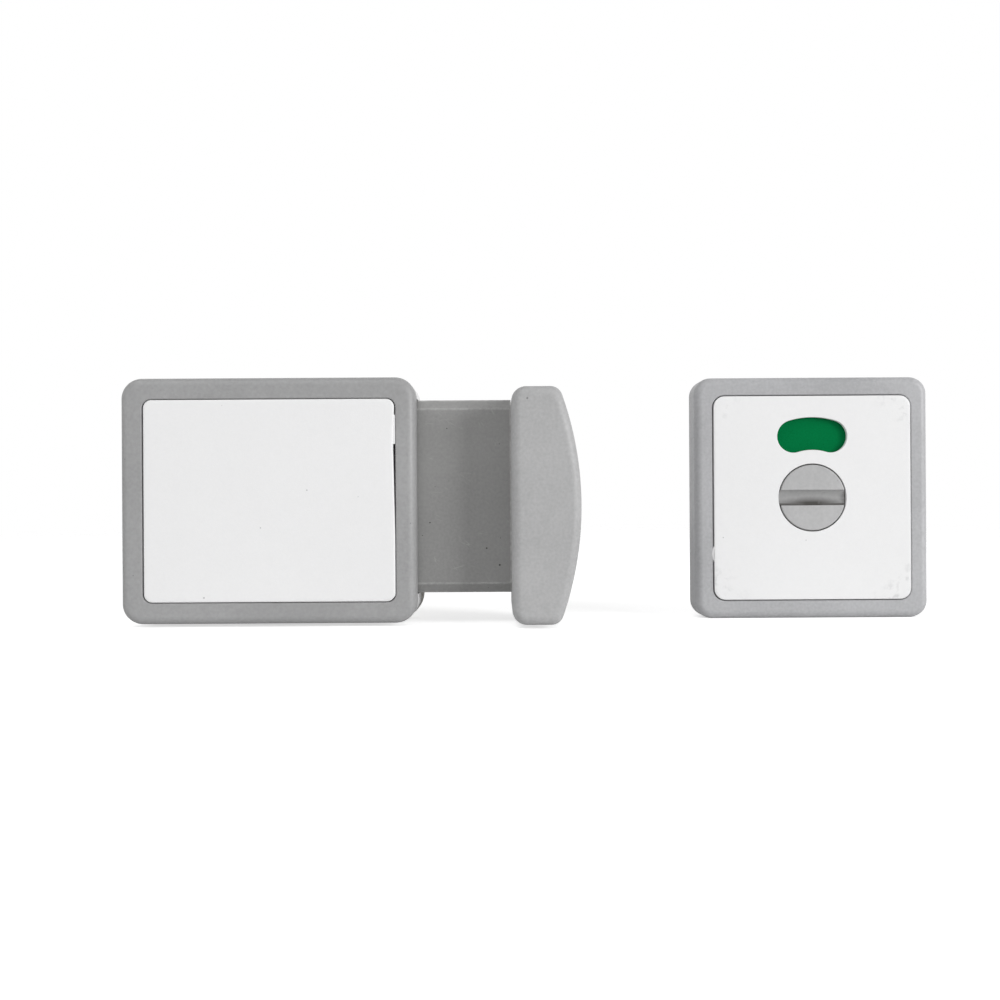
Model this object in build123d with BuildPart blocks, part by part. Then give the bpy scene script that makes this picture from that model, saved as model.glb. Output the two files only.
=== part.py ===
from build123d import *
from math import acos, cos, pi, radians, sin, sqrt, tan
import os

# Bathroom door latch, laid out as two units side by side on one door plane: an indoor slide bolt
# with its pull grip, and an outdoor unit with a coin turn and a vacant or engaged window.
# X runs along the door, Y runs into the door and Z is up. The door's face is y = 0. A height below
# is a distance from that face towards the viewer. The origin is the pinion's axis on the face.

# Indoor unit, outside sizes
casing_width = 71.8
casing_tall = 60.0
casing_corner = 5.0
casing_round = 2.0
casing_top = 20.0
bezel_bottom = 14.5

# Steel tray behind the indoor unit
plate_width = 73.0
plate_tall = 61.2
plate_low_corner = 6.6
plate_top_corner = 9.0
plate_wall = 0.9
plate_floor = 1.0
plate_rim = 3.5
plate_bend = 0.4
spindle_hole = 12.0

# White channel moulding that guides the bolt
spigot_gap = 0.2
channel_floor = 4.0
channel_side_gap = 0.3
channel_end_wall = 2.0
post_diameter = 7.0
fixing_spacing = 34.0
fixing_hole = 4.4

# Grey casing and the white cover let into it
web_top = 16.5
cover_width = 60.9
cover_tall = 49.2
cover_corner = 2.0
cover_x = 0.35
opening_x = 0.3
cover_gap = 0.15
cover_end_gap = 0.5
casing_lip = 0.2
cover_proud = 0.3
cover_thickness = 1.5
cover_skirt = 1.2
cover_skirt_bottom = 16.7
cover_edge = 0.4
snap_length = 7.0
snap_play = 0.5
snap_reach = 0.35
snap_clearance = 0.1
snap_x = 17.0
snap_low = 17.4
snap_high = 18.2

# Self-tapping screws from the back
casing_screw_x = 28.0
casing_screw_z = 27.2
casing_screw_shank = 2.9
casing_screw_head = 5.6
casing_screw_start = 0.1
casing_screw_end = 17.6
pilot_hole = 3.0
pilot_top = 18.2
screw_clearance = 3.3
countersink_gap = 0.1
recess_length = 3.2
recess_width = 0.7
recess_depth = 0.9

# Bolt, a flat slide with bevelled long edges
bolt_width = 48.0
slide_rise = 0.85
bolt_bottom = 4.3
bolt_top = 13.9
bolt_bevel_width = 2.3
bolt_bevel_drop = 1.2
bolt_ridge_round = 0.5
bolt_edge_round = 0.3
bolt_tail_gap = 0.7
grip_left = 59.2
tongue_length = 11.3
tongue_width = 38.0
tongue_bottom = 5.5
tongue_top = 11.5
slot_gap = 0.3
core_left = 38.0
core_right = 56.5
core_rib = 2.4
core_side_wall = 3.0
core_roof = 11.2

# Pull grip, a hollow bar across the bolt's end with a bowed outer side
grip_right = 75.8
grip_bow_radius = 80.0
grip_bottom_z = -29.9
grip_top_z = 26.9
grip_back = 2.0
grip_front = 27.0
grip_wall = 2.2
grip_left_corner = 3.5
grip_right_corner = 3.0
grip_round = 1.8
grip_screw_x = 66.0
grip_screw_z = 12.0
grip_boss = 7.0
grip_screw_shank = 3.0
grip_screw_head = 6.0
grip_screw_head_tall = 1.8
grip_screw_end = 20.0
grip_pilot_top = 21.0

# Rack and pinion, module 1 with 14 teeth, half a turn over the bolt's travel
module = 1.0
teeth = 14
pressure_angle = radians(20)
pitch_radius = module * teeth / 2
travel = pi * pitch_radius
tooth_thickness = 1.37
pinion_addendum = 0.8
pinion_dedendum = 1.1
tooth_sink = 0.2
rack_addendum = 0.75
rack_dedendum = 1.25
rack_first_tooth = -8.5
rack_teeth = 11
pinion_flange = 4.1
pinion_teeth_bottom = 4.4
pinion_teeth_top = 9.6
pinion_top = 10.6
pinion_boss_radius = 5.0
pinion_flange_radius = 5.6
pinion_back = 1.2
journal_diameter = 9.0
journal_clearance = 0.05
pocket_gap = 0.7
pocket_roof = 11.0
socket_width = 5.2
socket_tall = 2.2
socket_top = 9.0

# Leaf spring that drags on the bolt
spring_length = 34.0
spring_width = 7.0
spring_thickness = 0.3
spring_gap = 0.1
spring_groove_top = 15.5
spring_groove_gap = 0.6

# Outdoor unit, outside sizes
outdoor_x = 135.9
frame_width = 59.4
frame_tall = 61.5
frame_corner = 4.3
frame_round = 2.0
frame_top = 8.0
frame_floor = 2.8
frame_ledge = 6.3
disc_cavity_radius = 22.8
clip_recess_radius = 8.0
clip_recess_top = 1.3

# White faceplate with the window and the hole for the coin turn
faceplate_width = 50.0
faceplate_tall = 51.8
faceplate_corner = 3.0
faceplate_gap = 0.25
faceplate_top = 8.4
faceplate_bevel = 0.9
faceplate_bevel_drop = 0.5
faceplate_hollow = 7.4
frame_lip = 0.2
turn_hole = 17.6
window_radius = 16.3
window_width = 8.3
window_half_angle = 16.9
peg_x = 21.5
peg_z = 22.0
peg_diameter = 3.0
peg_length = 3.0
peg_gap = 0.1
tab_z = -14.4
tab_width = 3.2
tab_reach = 1.2
tab_overlap = 0.6
tab_bottom = 8.05
tab_top = 8.3

# Coin turn, its spindle and the indicator disc
turn_diameter = 17.2
turn_top = 8.5
turn_bottom = 5.7
turn_edge = 0.4
coin_slot_width = 3.9
coin_slot_depth = 1.8
neck_diameter = 10.0
neck_flats = 8.0
neck_bottom = 2.9
turn_back = 0.1
groove_diameter = 7.0
groove_low = 0.35
groove_high = 1.15
spindle_width = 5.0
spindle_thickness = 2.0
spindle_seat = 5.0
spindle_reach = 40.0
spindle_chamfer = 0.5
disc_radius = 22.2
disc_bottom = 4.9
disc_top = 5.7
hub_radius = 8.0
hub_bottom = 3.45
keyed_gap = 0.1
ring_inner = 9.0
ring_top = 6.8
panel_inner = 9.2
panel_outer = 21.8
panel_top = 7.1
panel_split = 0.4
clip_outer_radius = 6.6
clip_opening = 4.0
washer_inner = 5.3
washer_outer = 7.8
washer_thickness = 0.25
washer_rise = 0.35

# Brass threaded inserts for the fixing screws
insert_diameter = 6.0
insert_length = 4.6
insert_bore = 4.0
insert_boss = 9.0
insert_groove_diameter = 5.4
insert_groove_low = 1.8
insert_groove_high = 2.8

# Places and sizes that follow from the ones above
fixing_points = [(0, fixing_spacing / 2), (0, -fixing_spacing / 2)]
casing_screw_points = [
    (-casing_screw_x, -casing_screw_z),
    (-casing_screw_x, casing_screw_z),
    (casing_screw_x, -casing_screw_z),
    (casing_screw_x, casing_screw_z),
]
grip_screw_points = [
    (grip_screw_x, slide_rise - grip_screw_z),
    (grip_screw_x, slide_rise + grip_screw_z),
]
casing_left = -casing_width / 2
casing_right = casing_width / 2
channel_left = casing_left + channel_end_wall
channel_width = bolt_width + 2 * channel_side_gap
bolt_tail = channel_left + bolt_tail_gap
tongue_end = grip_left + tongue_length
cover_top = casing_top + cover_proud
cover_bottom = cover_top - cover_thickness
head_depth = (casing_screw_head - casing_screw_shank) / 2
grip_middle_z = (grip_bottom_z + grip_top_z) / 2
grip_half = (grip_top_z - grip_bottom_z) / 2
grip_end_x = grip_right - grip_bow_radius + sqrt(grip_bow_radius**2 - grip_half**2)
pinion_tip_radius = pitch_radius + pinion_addendum
pinion_root_radius = pitch_radius - pinion_dedendum
pocket_left = -travel - pinion_tip_radius - pocket_gap
pocket_right = pinion_tip_radius + pocket_gap
pocket_low = -pinion_tip_radius - pocket_gap
rack_root_z = pitch_radius + rack_dedendum
rack_tip_z = pitch_radius - rack_addendum


def indoor_at(height):
    """The indoor unit's sketch plane at a height: local x is X, local y is Z, extrusions go outwards."""
    return Plane.XZ.offset(height)


def outdoor_at(height):
    """The outdoor unit's sketch plane at a height, centred on the coin turn's axis."""
    return Plane(origin=(outdoor_x, -height, 0), x_dir=(1, 0, 0), z_dir=(0, -1, 0))


def tray_outline(inset):
    """The tray's outline on the current sketch, drawn in by an inset, with its upper corners rounder."""
    with BuildSketch(mode=Mode.PRIVATE) as outline:
        Rectangle(plate_width - 2 * inset, plate_tall - 2 * inset)
        fillet(outline.vertices().group_by(Axis.Y)[0], plate_low_corner - inset)
        fillet(outline.vertices().group_by(Axis.Y)[-1], plate_top_corner - inset)
    add(outline.sketch_local)


def front_face(builder):
    """The face of a part that stands furthest out from the door."""
    return builder.faces().sort_by(Axis.Y)[0]


def involute_point(radius, half_angle):
    """A point on the right-hand flank of a tooth that points along +Y, at a radius from the centre."""
    base_radius = pitch_radius * cos(pressure_angle)
    roll = acos(base_radius / radius)
    turned = half_angle + (tan(pressure_angle) - pressure_angle) - (tan(roll) - roll)
    return (radius * sin(turned), radius * cos(turned))


def mirrored(point):
    """The same point on the tooth's left-hand flank."""
    return (-point[0], point[1])


# Back plate: a pressed steel tray against the door
with BuildPart() as back_plate:
    with BuildSketch(indoor_at(0)):
        tray_outline(0)
    extrude(amount=plate_rim)
    with BuildSketch(indoor_at(plate_floor)):
        tray_outline(plate_wall)
    extrude(amount=plate_rim - plate_floor, mode=Mode.SUBTRACT)
    outer_bend = back_plate.faces().sort_by(Axis.Y)[-1].edges()
    fillet(outer_bend, plate_bend)
    with BuildSketch(indoor_at(0)):
        Circle(spindle_hole / 2)
        with Locations(*fixing_points):
            Circle(fixing_hole / 2)
    extrude(amount=plate_floor, mode=Mode.SUBTRACT)
    with BuildSketch(indoor_at(0)):
        with Locations(*casing_screw_points):
            Circle(casing_screw_head / 2 + countersink_gap + casing_screw_start)
    extrude(amount=plate_floor, taper=45, mode=Mode.SUBTRACT)
back_plate.part.label = "back_plate"

# Slide channel: the white moulding between the tray and the casing, with the bolt's track in it
with BuildPart() as slide_channel:
    with BuildSketch(indoor_at(plate_floor)):
        tray_outline(plate_wall + spigot_gap)
    extrude(amount=plate_rim - plate_floor)
    with BuildSketch(indoor_at(plate_rim)):
        RectangleRounded(casing_width, casing_tall, casing_corner)
    extrude(amount=bezel_bottom - plate_rim)
    with BuildSketch(indoor_at(channel_floor)):
        with Locations(((channel_left + casing_right) / 2, slide_rise)):
            Rectangle(casing_right - channel_left, channel_width)
    extrude(amount=bezel_bottom - channel_floor, mode=Mode.SUBTRACT)
    with BuildSketch(indoor_at(channel_floor)):
        with Locations(*fixing_points):
            Circle(post_diameter / 2)
    extrude(amount=bezel_bottom - channel_floor)
    with BuildSketch(indoor_at(plate_floor)):
        Circle(journal_diameter / 2 + journal_clearance)
        with Locations(*fixing_points):
            Circle(fixing_hole / 2)
        with Locations(*casing_screw_points):
            Circle(screw_clearance / 2)
    extrude(amount=bezel_bottom - plate_floor, mode=Mode.SUBTRACT)
    with BuildSketch(indoor_at(plate_floor)):
        with Locations(*casing_screw_points):
            Circle(casing_screw_head / 2 + countersink_gap + casing_screw_start - plate_floor)
    extrude(amount=head_depth, taper=45, mode=Mode.SUBTRACT)
slide_channel.part.label = "slide_channel"

# Casing: the grey bezel with the web that the fixing screws clamp
with BuildPart() as casing:
    with BuildSketch(indoor_at(bezel_bottom)):
        RectangleRounded(casing_width, casing_tall, casing_corner)
    extrude(amount=casing_top - bezel_bottom)
    fillet(front_face(casing).edges(), casing_round)
    with BuildSketch(indoor_at(web_top)):
        opening_width = cover_width + 2 * cover_end_gap
        opening_tall = cover_tall + 2 * cover_gap
        with Locations((opening_x, 0)):
            RectangleRounded(opening_width, opening_tall, cover_corner + cover_gap)
    extrude(amount=casing_top - web_top, mode=Mode.SUBTRACT)
    fillet(front_face(casing).inner_wires().edges(), casing_lip)
    with BuildSketch(indoor_at(snap_low)):
        with Locations((cover_x, 0)):
            with GridLocations(2 * snap_x, cover_tall, 2, 2):
                Rectangle(snap_length + 2 * snap_play, 2 * (snap_reach + 2 * cover_gap))
    extrude(amount=snap_high - snap_low, mode=Mode.SUBTRACT)
    with BuildSketch(indoor_at(bezel_bottom)):
        with Locations(*fixing_points):
            Circle(fixing_hole / 2)
    extrude(amount=web_top - bezel_bottom, mode=Mode.SUBTRACT)
    with BuildSketch(indoor_at(bezel_bottom)):
        with Locations(*casing_screw_points):
            Circle(pilot_hole / 2)
    extrude(amount=pilot_top - bezel_bottom, mode=Mode.SUBTRACT)
    with BuildSketch(indoor_at(bezel_bottom)):
        Rectangle(spring_length + 2 * spring_groove_gap, spring_width + 2 * spring_groove_gap)
    extrude(amount=spring_groove_top - bezel_bottom, mode=Mode.SUBTRACT)
casing.part.label = "casing"

# Cover: the white plate let into the casing, over the heads of the fixing screws
with BuildPart() as cover:
    with BuildSketch(indoor_at(cover_bottom)):
        with Locations((cover_x, 0)):
            RectangleRounded(cover_width, cover_tall, cover_corner)
    extrude(amount=cover_thickness)
    fillet(front_face(cover).edges(), cover_edge)
    with BuildSketch(indoor_at(cover_skirt_bottom)):
        inner_width = cover_width - 2 * cover_skirt
        inner_tall = cover_tall - 2 * cover_skirt
        with Locations((cover_x, 0)):
            RectangleRounded(cover_width, cover_tall, cover_corner)
            RectangleRounded(inner_width, inner_tall, cover_corner - cover_skirt, mode=Mode.SUBTRACT)
    extrude(amount=cover_bottom - cover_skirt_bottom)
    with BuildSketch(indoor_at(snap_low + snap_clearance)):
        with Locations((cover_x, 0)):
            with GridLocations(2 * snap_x, cover_tall - cover_skirt, 2, 2):
                Rectangle(snap_length, cover_skirt + 2 * snap_reach)
    extrude(amount=snap_high - snap_low - 2 * snap_clearance)
cover.part.label = "cover"

# Casing screws: four countersunk self-tapping screws from the back, through tray and channel
with BuildPart() as casing_screws:
    with BuildSketch(indoor_at(casing_screw_start)):
        with Locations(*casing_screw_points):
            Circle(casing_screw_head / 2)
    extrude(amount=head_depth, taper=45)
    with BuildSketch(indoor_at(casing_screw_start)):
        with Locations(*casing_screw_points):
            Circle(casing_screw_shank / 2)
    extrude(amount=casing_screw_end - casing_screw_start)
    with BuildSketch(indoor_at(casing_screw_start)):
        with Locations(*casing_screw_points):
            Rectangle(recess_length, recess_width)
            Rectangle(recess_width, recess_length)
    extrude(amount=recess_depth, mode=Mode.SUBTRACT)
casing_screws.part.label = "casing_screws"

# Friction spring: a bowed steel strip in the casing's groove whose belly drags on the bolt
with BuildPart() as friction_spring:
    belly = bolt_top + spring_gap
    half = spring_length / 2
    end_back = spring_thickness - spring_groove_top
    end_front = -spring_groove_top
    with BuildSketch(Plane.XY.offset(-spring_width / 2)):
        with BuildLine():
            ThreePointArc((-half, end_back), (0, -belly), (half, end_back))
            Line((half, end_back), (half, end_front))
            ThreePointArc((half, end_front), (0, -belly - spring_thickness), (-half, end_front))
            Line((-half, end_front), (-half, end_back))
        make_face()
    extrude(amount=spring_width)
friction_spring.part.label = "friction_spring"

# Bolt: the slide with its bevelled edges, the tongue for the grip, the slots for the posts and the rack
with BuildPart() as bolt:
    top_z = slide_rise + bolt_width / 2
    low_z = slide_rise - bolt_width / 2
    shoulder = -bolt_top + bolt_bevel_drop
    with BuildSketch(Plane.YZ.offset(bolt_tail)):
        with BuildLine():
            Polyline(
                (-bolt_bottom, low_z),
                (shoulder, low_z),
                (-bolt_top, low_z + bolt_bevel_width),
                (-bolt_top, top_z - bolt_bevel_width),
                (shoulder, top_z),
                (-bolt_bottom, top_z),
                close=True,
            )
        make_face()
    extrude(amount=grip_left - bolt_tail)
    ridges = front_face(bolt).edges().filter_by(Axis.X)
    fillet(ridges, bolt_ridge_round)
    shoulders = bolt.edges().filter_by(Axis.X).filter_by_position(Axis.Y, shoulder - 0.01, shoulder + 0.01)
    fillet(shoulders, bolt_edge_round)
    with BuildSketch(indoor_at(tongue_bottom)):
        with Locations(((grip_left + tongue_end) / 2, slide_rise)):
            Rectangle(tongue_length, tongue_width)
    extrude(amount=tongue_top - tongue_bottom)
    with BuildSketch(indoor_at(tongue_bottom)):
        with Locations(*grip_screw_points):
            Circle(screw_clearance / 2)
    extrude(amount=tongue_top - tongue_bottom, mode=Mode.SUBTRACT)
    slot_width = post_diameter + 2 * slot_gap
    with BuildSketch(indoor_at(bolt_bottom)):
        with Locations(*[(-travel / 2, z) for x, z in fixing_points]):
            SlotCenterToCenter(travel, slot_width)
    extrude(amount=bolt_top - bolt_bottom, mode=Mode.SUBTRACT)
    flank = tan(pressure_angle)
    root_half = tooth_thickness / 2 + rack_dedendum * flank
    tip_half = tooth_thickness / 2 - rack_addendum * flank
    tooth_pitch = pi * module
    with BuildSketch(indoor_at(bolt_bottom)):
        with Locations(((pocket_left + pocket_right) / 2, (pocket_low + rack_root_z) / 2)):
            Rectangle(pocket_right - pocket_left, rack_root_z - pocket_low)
        with Locations(*[((rack_first_tooth + i) * tooth_pitch, 0) for i in range(rack_teeth)]):
            Polygon(
                (-root_half, rack_root_z),
                (-tip_half, rack_tip_z),
                (tip_half, rack_tip_z),
                (root_half, rack_root_z),
                align=None,
                mode=Mode.SUBTRACT,
            )
    extrude(amount=pocket_roof - bolt_bottom, mode=Mode.SUBTRACT)
    core_tall = bolt_width / 2 - core_side_wall - core_rib / 2
    with BuildSketch(indoor_at(bolt_bottom)):
        with Locations(((core_left + core_right) / 2, slide_rise)):
            with GridLocations(0, core_tall + core_rib, 1, 2):
                Rectangle(core_right - core_left, core_tall)
    extrude(amount=core_roof - bolt_bottom, mode=Mode.SUBTRACT)
bolt.part.label = "bolt"

# Grip: the hollow pull bar, bowed on its outer side, open at the back
with BuildPart() as grip:
    with BuildSketch(indoor_at(grip_back)) as grip_outline:
        with BuildLine():
            Line((grip_end_x, grip_top_z), (grip_left, grip_top_z))
            Line((grip_left, grip_top_z), (grip_left, grip_bottom_z))
            Line((grip_left, grip_bottom_z), (grip_end_x, grip_bottom_z))
            ThreePointArc(
                (grip_end_x, grip_bottom_z),
                (grip_right, grip_middle_z),
                (grip_end_x, grip_top_z),
            )
        make_face()
        fillet(grip_outline.vertices().group_by(Axis.X)[0], grip_left_corner)
        fillet(grip_outline.vertices().group_by(Axis.X)[-1], grip_right_corner)
    extrude(amount=grip_front - grip_back)
    fillet(front_face(grip).edges(), grip_round)
    with BuildSketch(indoor_at(grip_back)):
        add(grip_outline.sketch_local)
        offset(amount=-grip_wall, mode=Mode.REPLACE)
    extrude(amount=grip_front - grip_wall - grip_back, mode=Mode.SUBTRACT)
    with BuildSketch(indoor_at(tongue_top)):
        with Locations(*grip_screw_points):
            Circle(grip_boss / 2)
    extrude(amount=grip_front - grip_wall - tongue_top)
    with BuildSketch(indoor_at(tongue_top)):
        with Locations(*grip_screw_points):
            Circle(grip_screw_shank / 2 + keyed_gap / 2)
    extrude(amount=grip_pilot_top - tongue_top, mode=Mode.SUBTRACT)
    with BuildSketch(indoor_at(grip_back)):
        with Locations((grip_left + grip_wall / 2, slide_rise)):
            Rectangle(grip_wall, tongue_width + 2 * keyed_gap)
    extrude(amount=tongue_top + keyed_gap - grip_back, mode=Mode.SUBTRACT)
grip.part.label = "grip"

# Grip screws: two pan-head screws from the back, through the tongue into the grip's bosses
with BuildPart() as grip_screws:
    head_back = tongue_bottom - grip_screw_head_tall
    with BuildSketch(indoor_at(head_back)):
        with Locations(*grip_screw_points):
            Circle(grip_screw_head / 2)
    extrude(amount=grip_screw_head_tall)
    with BuildSketch(indoor_at(head_back)):
        with Locations(*grip_screw_points):
            Circle(grip_screw_shank / 2)
    extrude(amount=grip_screw_end - head_back)
    with BuildSketch(indoor_at(head_back)):
        with Locations(*grip_screw_points):
            Rectangle(recess_length, recess_width)
            Rectangle(recess_width, recess_length)
    extrude(amount=recess_depth, mode=Mode.SUBTRACT)
grip_screws.part.label = "grip_screws"

# Pinion: turned by the bolt's rack, with the socket for the spindle in its back
with BuildPart() as pinion:
    half_angle = tooth_thickness / 2 / pitch_radius
    base_radius = pitch_radius * cos(pressure_angle)
    flank_low = involute_point(base_radius, half_angle)
    flank_mid = involute_point((base_radius + pinion_tip_radius) / 2, half_angle)
    flank_tip = involute_point(pinion_tip_radius, half_angle)
    root_scale = (pinion_root_radius - tooth_sink) / base_radius
    root = (flank_low[0] * root_scale, flank_low[1] * root_scale)
    with BuildSketch(Plane.XY, mode=Mode.PRIVATE) as tooth:
        with BuildLine():
            Line(root, flank_low)
            ThreePointArc(flank_low, flank_mid, flank_tip)
            ThreePointArc(flank_tip, (0, pinion_tip_radius), mirrored(flank_tip))
            ThreePointArc(mirrored(flank_tip), mirrored(flank_mid), mirrored(flank_low))
            Line(mirrored(flank_low), mirrored(root))
            Line(mirrored(root), root)
        make_face()
    with BuildSketch(indoor_at(pinion_teeth_bottom)):
        Circle(pinion_root_radius)
        with PolarLocations(0, teeth):
            add(tooth.sketch_local)
    extrude(amount=pinion_teeth_top - pinion_teeth_bottom)
    with BuildSketch(indoor_at(pinion_flange)):
        Circle(pinion_flange_radius)
    extrude(amount=pinion_teeth_bottom - pinion_flange)
    with BuildSketch(indoor_at(pinion_teeth_top)):
        Circle(pinion_boss_radius)
    extrude(amount=pinion_top - pinion_teeth_top)
    with BuildSketch(indoor_at(pinion_back)):
        Circle(journal_diameter / 2)
    extrude(amount=pinion_flange - pinion_back)
    with BuildSketch(indoor_at(pinion_back)):
        Rectangle(socket_width, socket_tall)
    extrude(amount=socket_top - pinion_back, mode=Mode.SUBTRACT)
pinion.part.label = "pinion"

# Outdoor frame: the grey body with the floor that carries the coin turn
with BuildPart() as outdoor_frame:
    with BuildSketch(outdoor_at(0)):
        RectangleRounded(frame_width, frame_tall, frame_corner)
    extrude(amount=frame_top)
    fillet(front_face(outdoor_frame).edges(), frame_round)
    with BuildSketch(outdoor_at(frame_ledge)):
        seat_width = faceplate_width + 2 * faceplate_gap
        seat_tall = faceplate_tall + 2 * faceplate_gap
        RectangleRounded(seat_width, seat_tall, faceplate_corner)
    extrude(amount=frame_top - frame_ledge, mode=Mode.SUBTRACT)
    fillet(front_face(outdoor_frame).inner_wires().edges(), frame_lip)
    with BuildSketch(outdoor_at(frame_floor)):
        Circle(disc_cavity_radius)
    extrude(amount=frame_ledge - frame_floor, mode=Mode.SUBTRACT)
    with BuildSketch(outdoor_at(frame_floor)):
        with Locations(*fixing_points):
            Circle(insert_boss / 2)
    extrude(amount=insert_length - frame_floor)
    with BuildSketch(outdoor_at(0)):
        with Locations(*fixing_points):
            Circle(insert_diameter / 2)
    extrude(amount=insert_length, mode=Mode.SUBTRACT)
    with BuildSketch(outdoor_at(0)):
        Circle(journal_diameter / 2 + journal_clearance)
    extrude(amount=frame_floor, mode=Mode.SUBTRACT)
    with BuildSketch(outdoor_at(0)):
        Circle(clip_recess_radius)
    extrude(amount=clip_recess_top, mode=Mode.SUBTRACT)
    with BuildSketch(outdoor_at(frame_ledge - peg_length)):
        with GridLocations(2 * peg_x, 2 * peg_z, 2, 2):
            Circle(peg_diameter / 2 + peg_gap)
    extrude(amount=peg_length, mode=Mode.SUBTRACT)
outdoor_frame.part.label = "outdoor_frame"

# Faceplate: the white front with the kidney window, four pegs and a small pry tab at its left edge
with BuildPart() as faceplate:
    with BuildSketch(outdoor_at(frame_ledge)):
        RectangleRounded(faceplate_width, faceplate_tall, faceplate_corner - faceplate_gap)
    extrude(amount=faceplate_top - frame_ledge)
    front = front_face(faceplate)
    chamfer(front.edges(), faceplate_bevel_drop, faceplate_bevel, reference=front)
    with BuildSketch(outdoor_at(frame_ledge)):
        Circle(disc_cavity_radius)
    extrude(amount=faceplate_hollow - frame_ledge, mode=Mode.SUBTRACT)
    with BuildSketch(outdoor_at(frame_ledge)):
        Circle(turn_hole / 2)
        with BuildLine(mode=Mode.PRIVATE) as window_arc:
            CenterArc((0, 0), window_radius, 90 - window_half_angle, 2 * window_half_angle)
        SlotArc(window_arc.edge(), window_width)
    extrude(amount=faceplate_top - frame_ledge, mode=Mode.SUBTRACT)
    with BuildSketch(outdoor_at(frame_ledge)):
        with GridLocations(2 * peg_x, 2 * peg_z, 2, 2):
            Circle(peg_diameter / 2)
    extrude(amount=-(peg_length - peg_gap))
    with BuildSketch(outdoor_at(tab_bottom)):
        with Locations((-faceplate_width / 2 + (faceplate_bevel + tab_overlap - tab_reach) / 2, tab_z)):
            Rectangle(faceplate_bevel + tab_overlap + tab_reach, tab_width)
    extrude(amount=tab_top - tab_bottom)
faceplate.part.label = "faceplate"

# Coin turn: the slotted disc, its double-flat neck and the journal that runs in the frame
with BuildPart() as coin_turn:
    with BuildSketch(outdoor_at(turn_bottom)):
        Circle(turn_diameter / 2)
    extrude(amount=turn_top - turn_bottom)
    fillet(front_face(coin_turn).edges(), turn_edge)
    slot_radius = (coin_slot_width**2 / 4 + coin_slot_depth**2) / (2 * coin_slot_depth)
    slot_centre = turn_top - coin_slot_depth + slot_radius
    with BuildSketch(Plane.YZ.offset(outdoor_x)):
        with Locations((-slot_centre, 0)):
            Circle(slot_radius)
    extrude(amount=turn_diameter / 2, both=True, mode=Mode.SUBTRACT)
    with BuildSketch(outdoor_at(neck_bottom)):
        Circle(neck_diameter / 2)
        Rectangle(neck_diameter, neck_flats, mode=Mode.INTERSECT)
    extrude(amount=turn_bottom - neck_bottom)
    with BuildSketch(outdoor_at(turn_back)):
        Circle(journal_diameter / 2)
    extrude(amount=neck_bottom - turn_back)
    with BuildSketch(outdoor_at(groove_low)):
        Circle(journal_diameter / 2)
        Circle(groove_diameter / 2, mode=Mode.SUBTRACT)
    extrude(amount=groove_high - groove_low, mode=Mode.SUBTRACT)
    with BuildSketch(outdoor_at(turn_back)):
        Rectangle(spindle_width, spindle_thickness)
    extrude(amount=spindle_seat - turn_back, mode=Mode.SUBTRACT)
coin_turn.part.label = "coin_turn"

# Spindle: the flat bar that goes through the door into the pinion's socket
with BuildPart() as spindle:
    with BuildSketch(outdoor_at(-spindle_reach)):
        Rectangle(spindle_width, spindle_thickness)
    extrude(amount=spindle_reach + spindle_seat)
    far_end = spindle.faces().sort_by(Axis.Y)[-1]
    chamfer(far_end.edges(), spindle_chamfer)
spindle.part.label = "spindle"

# Indicator disc: keyed on the coin turn's neck, carrying the two coloured panels
with BuildPart() as indicator_disc:
    with BuildSketch(outdoor_at(disc_bottom)):
        Circle(disc_radius)
    extrude(amount=disc_top - disc_bottom)
    with BuildSketch(outdoor_at(disc_top)):
        Circle(disc_radius)
        Circle(ring_inner, mode=Mode.SUBTRACT)
    extrude(amount=ring_top - disc_top)
    with BuildSketch(outdoor_at(hub_bottom)):
        Circle(hub_radius)
    extrude(amount=disc_bottom - hub_bottom)
    with BuildSketch(outdoor_at(hub_bottom)):
        Circle(neck_diameter / 2 + keyed_gap)
        Rectangle(neck_diameter + 2 * keyed_gap, neck_flats + 2 * keyed_gap, mode=Mode.INTERSECT)
    extrude(amount=disc_top - hub_bottom, mode=Mode.SUBTRACT)
indicator_disc.part.label = "indicator_disc"

# Green panel: the vacant half, behind the window as drawn
with BuildPart() as green_panel:
    with BuildSketch(outdoor_at(ring_top)):
        Circle(panel_outer)
        Circle(panel_inner, mode=Mode.SUBTRACT)
        with Locations((0, panel_split / 2 + panel_outer)):
            Rectangle(2 * panel_outer, 2 * panel_outer, mode=Mode.INTERSECT)
    extrude(amount=panel_top - ring_top)
green_panel.part.label = "green_panel"

# Red panel: the engaged half, half a turn away
with BuildPart() as red_panel:
    with BuildSketch(outdoor_at(ring_top)):
        Circle(panel_outer)
        Circle(panel_inner, mode=Mode.SUBTRACT)
        with Locations((0, -panel_split / 2 - panel_outer)):
            Rectangle(2 * panel_outer, 2 * panel_outer, mode=Mode.INTERSECT)
    extrude(amount=panel_top - ring_top)
red_panel.part.label = "red_panel"

# Retaining clip: an open ring in the journal's groove, inside the recess in the frame's back
with BuildPart() as retaining_clip:
    with BuildSketch(outdoor_at(groove_low)):
        Circle(clip_outer_radius)
        Circle(groove_diameter / 2, mode=Mode.SUBTRACT)
        with Locations((0, -clip_outer_radius)):
            Rectangle(clip_opening, 2 * clip_outer_radius, mode=Mode.SUBTRACT)
    extrude(amount=groove_high - groove_low)
retaining_clip.part.label = "retaining_clip"

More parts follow.
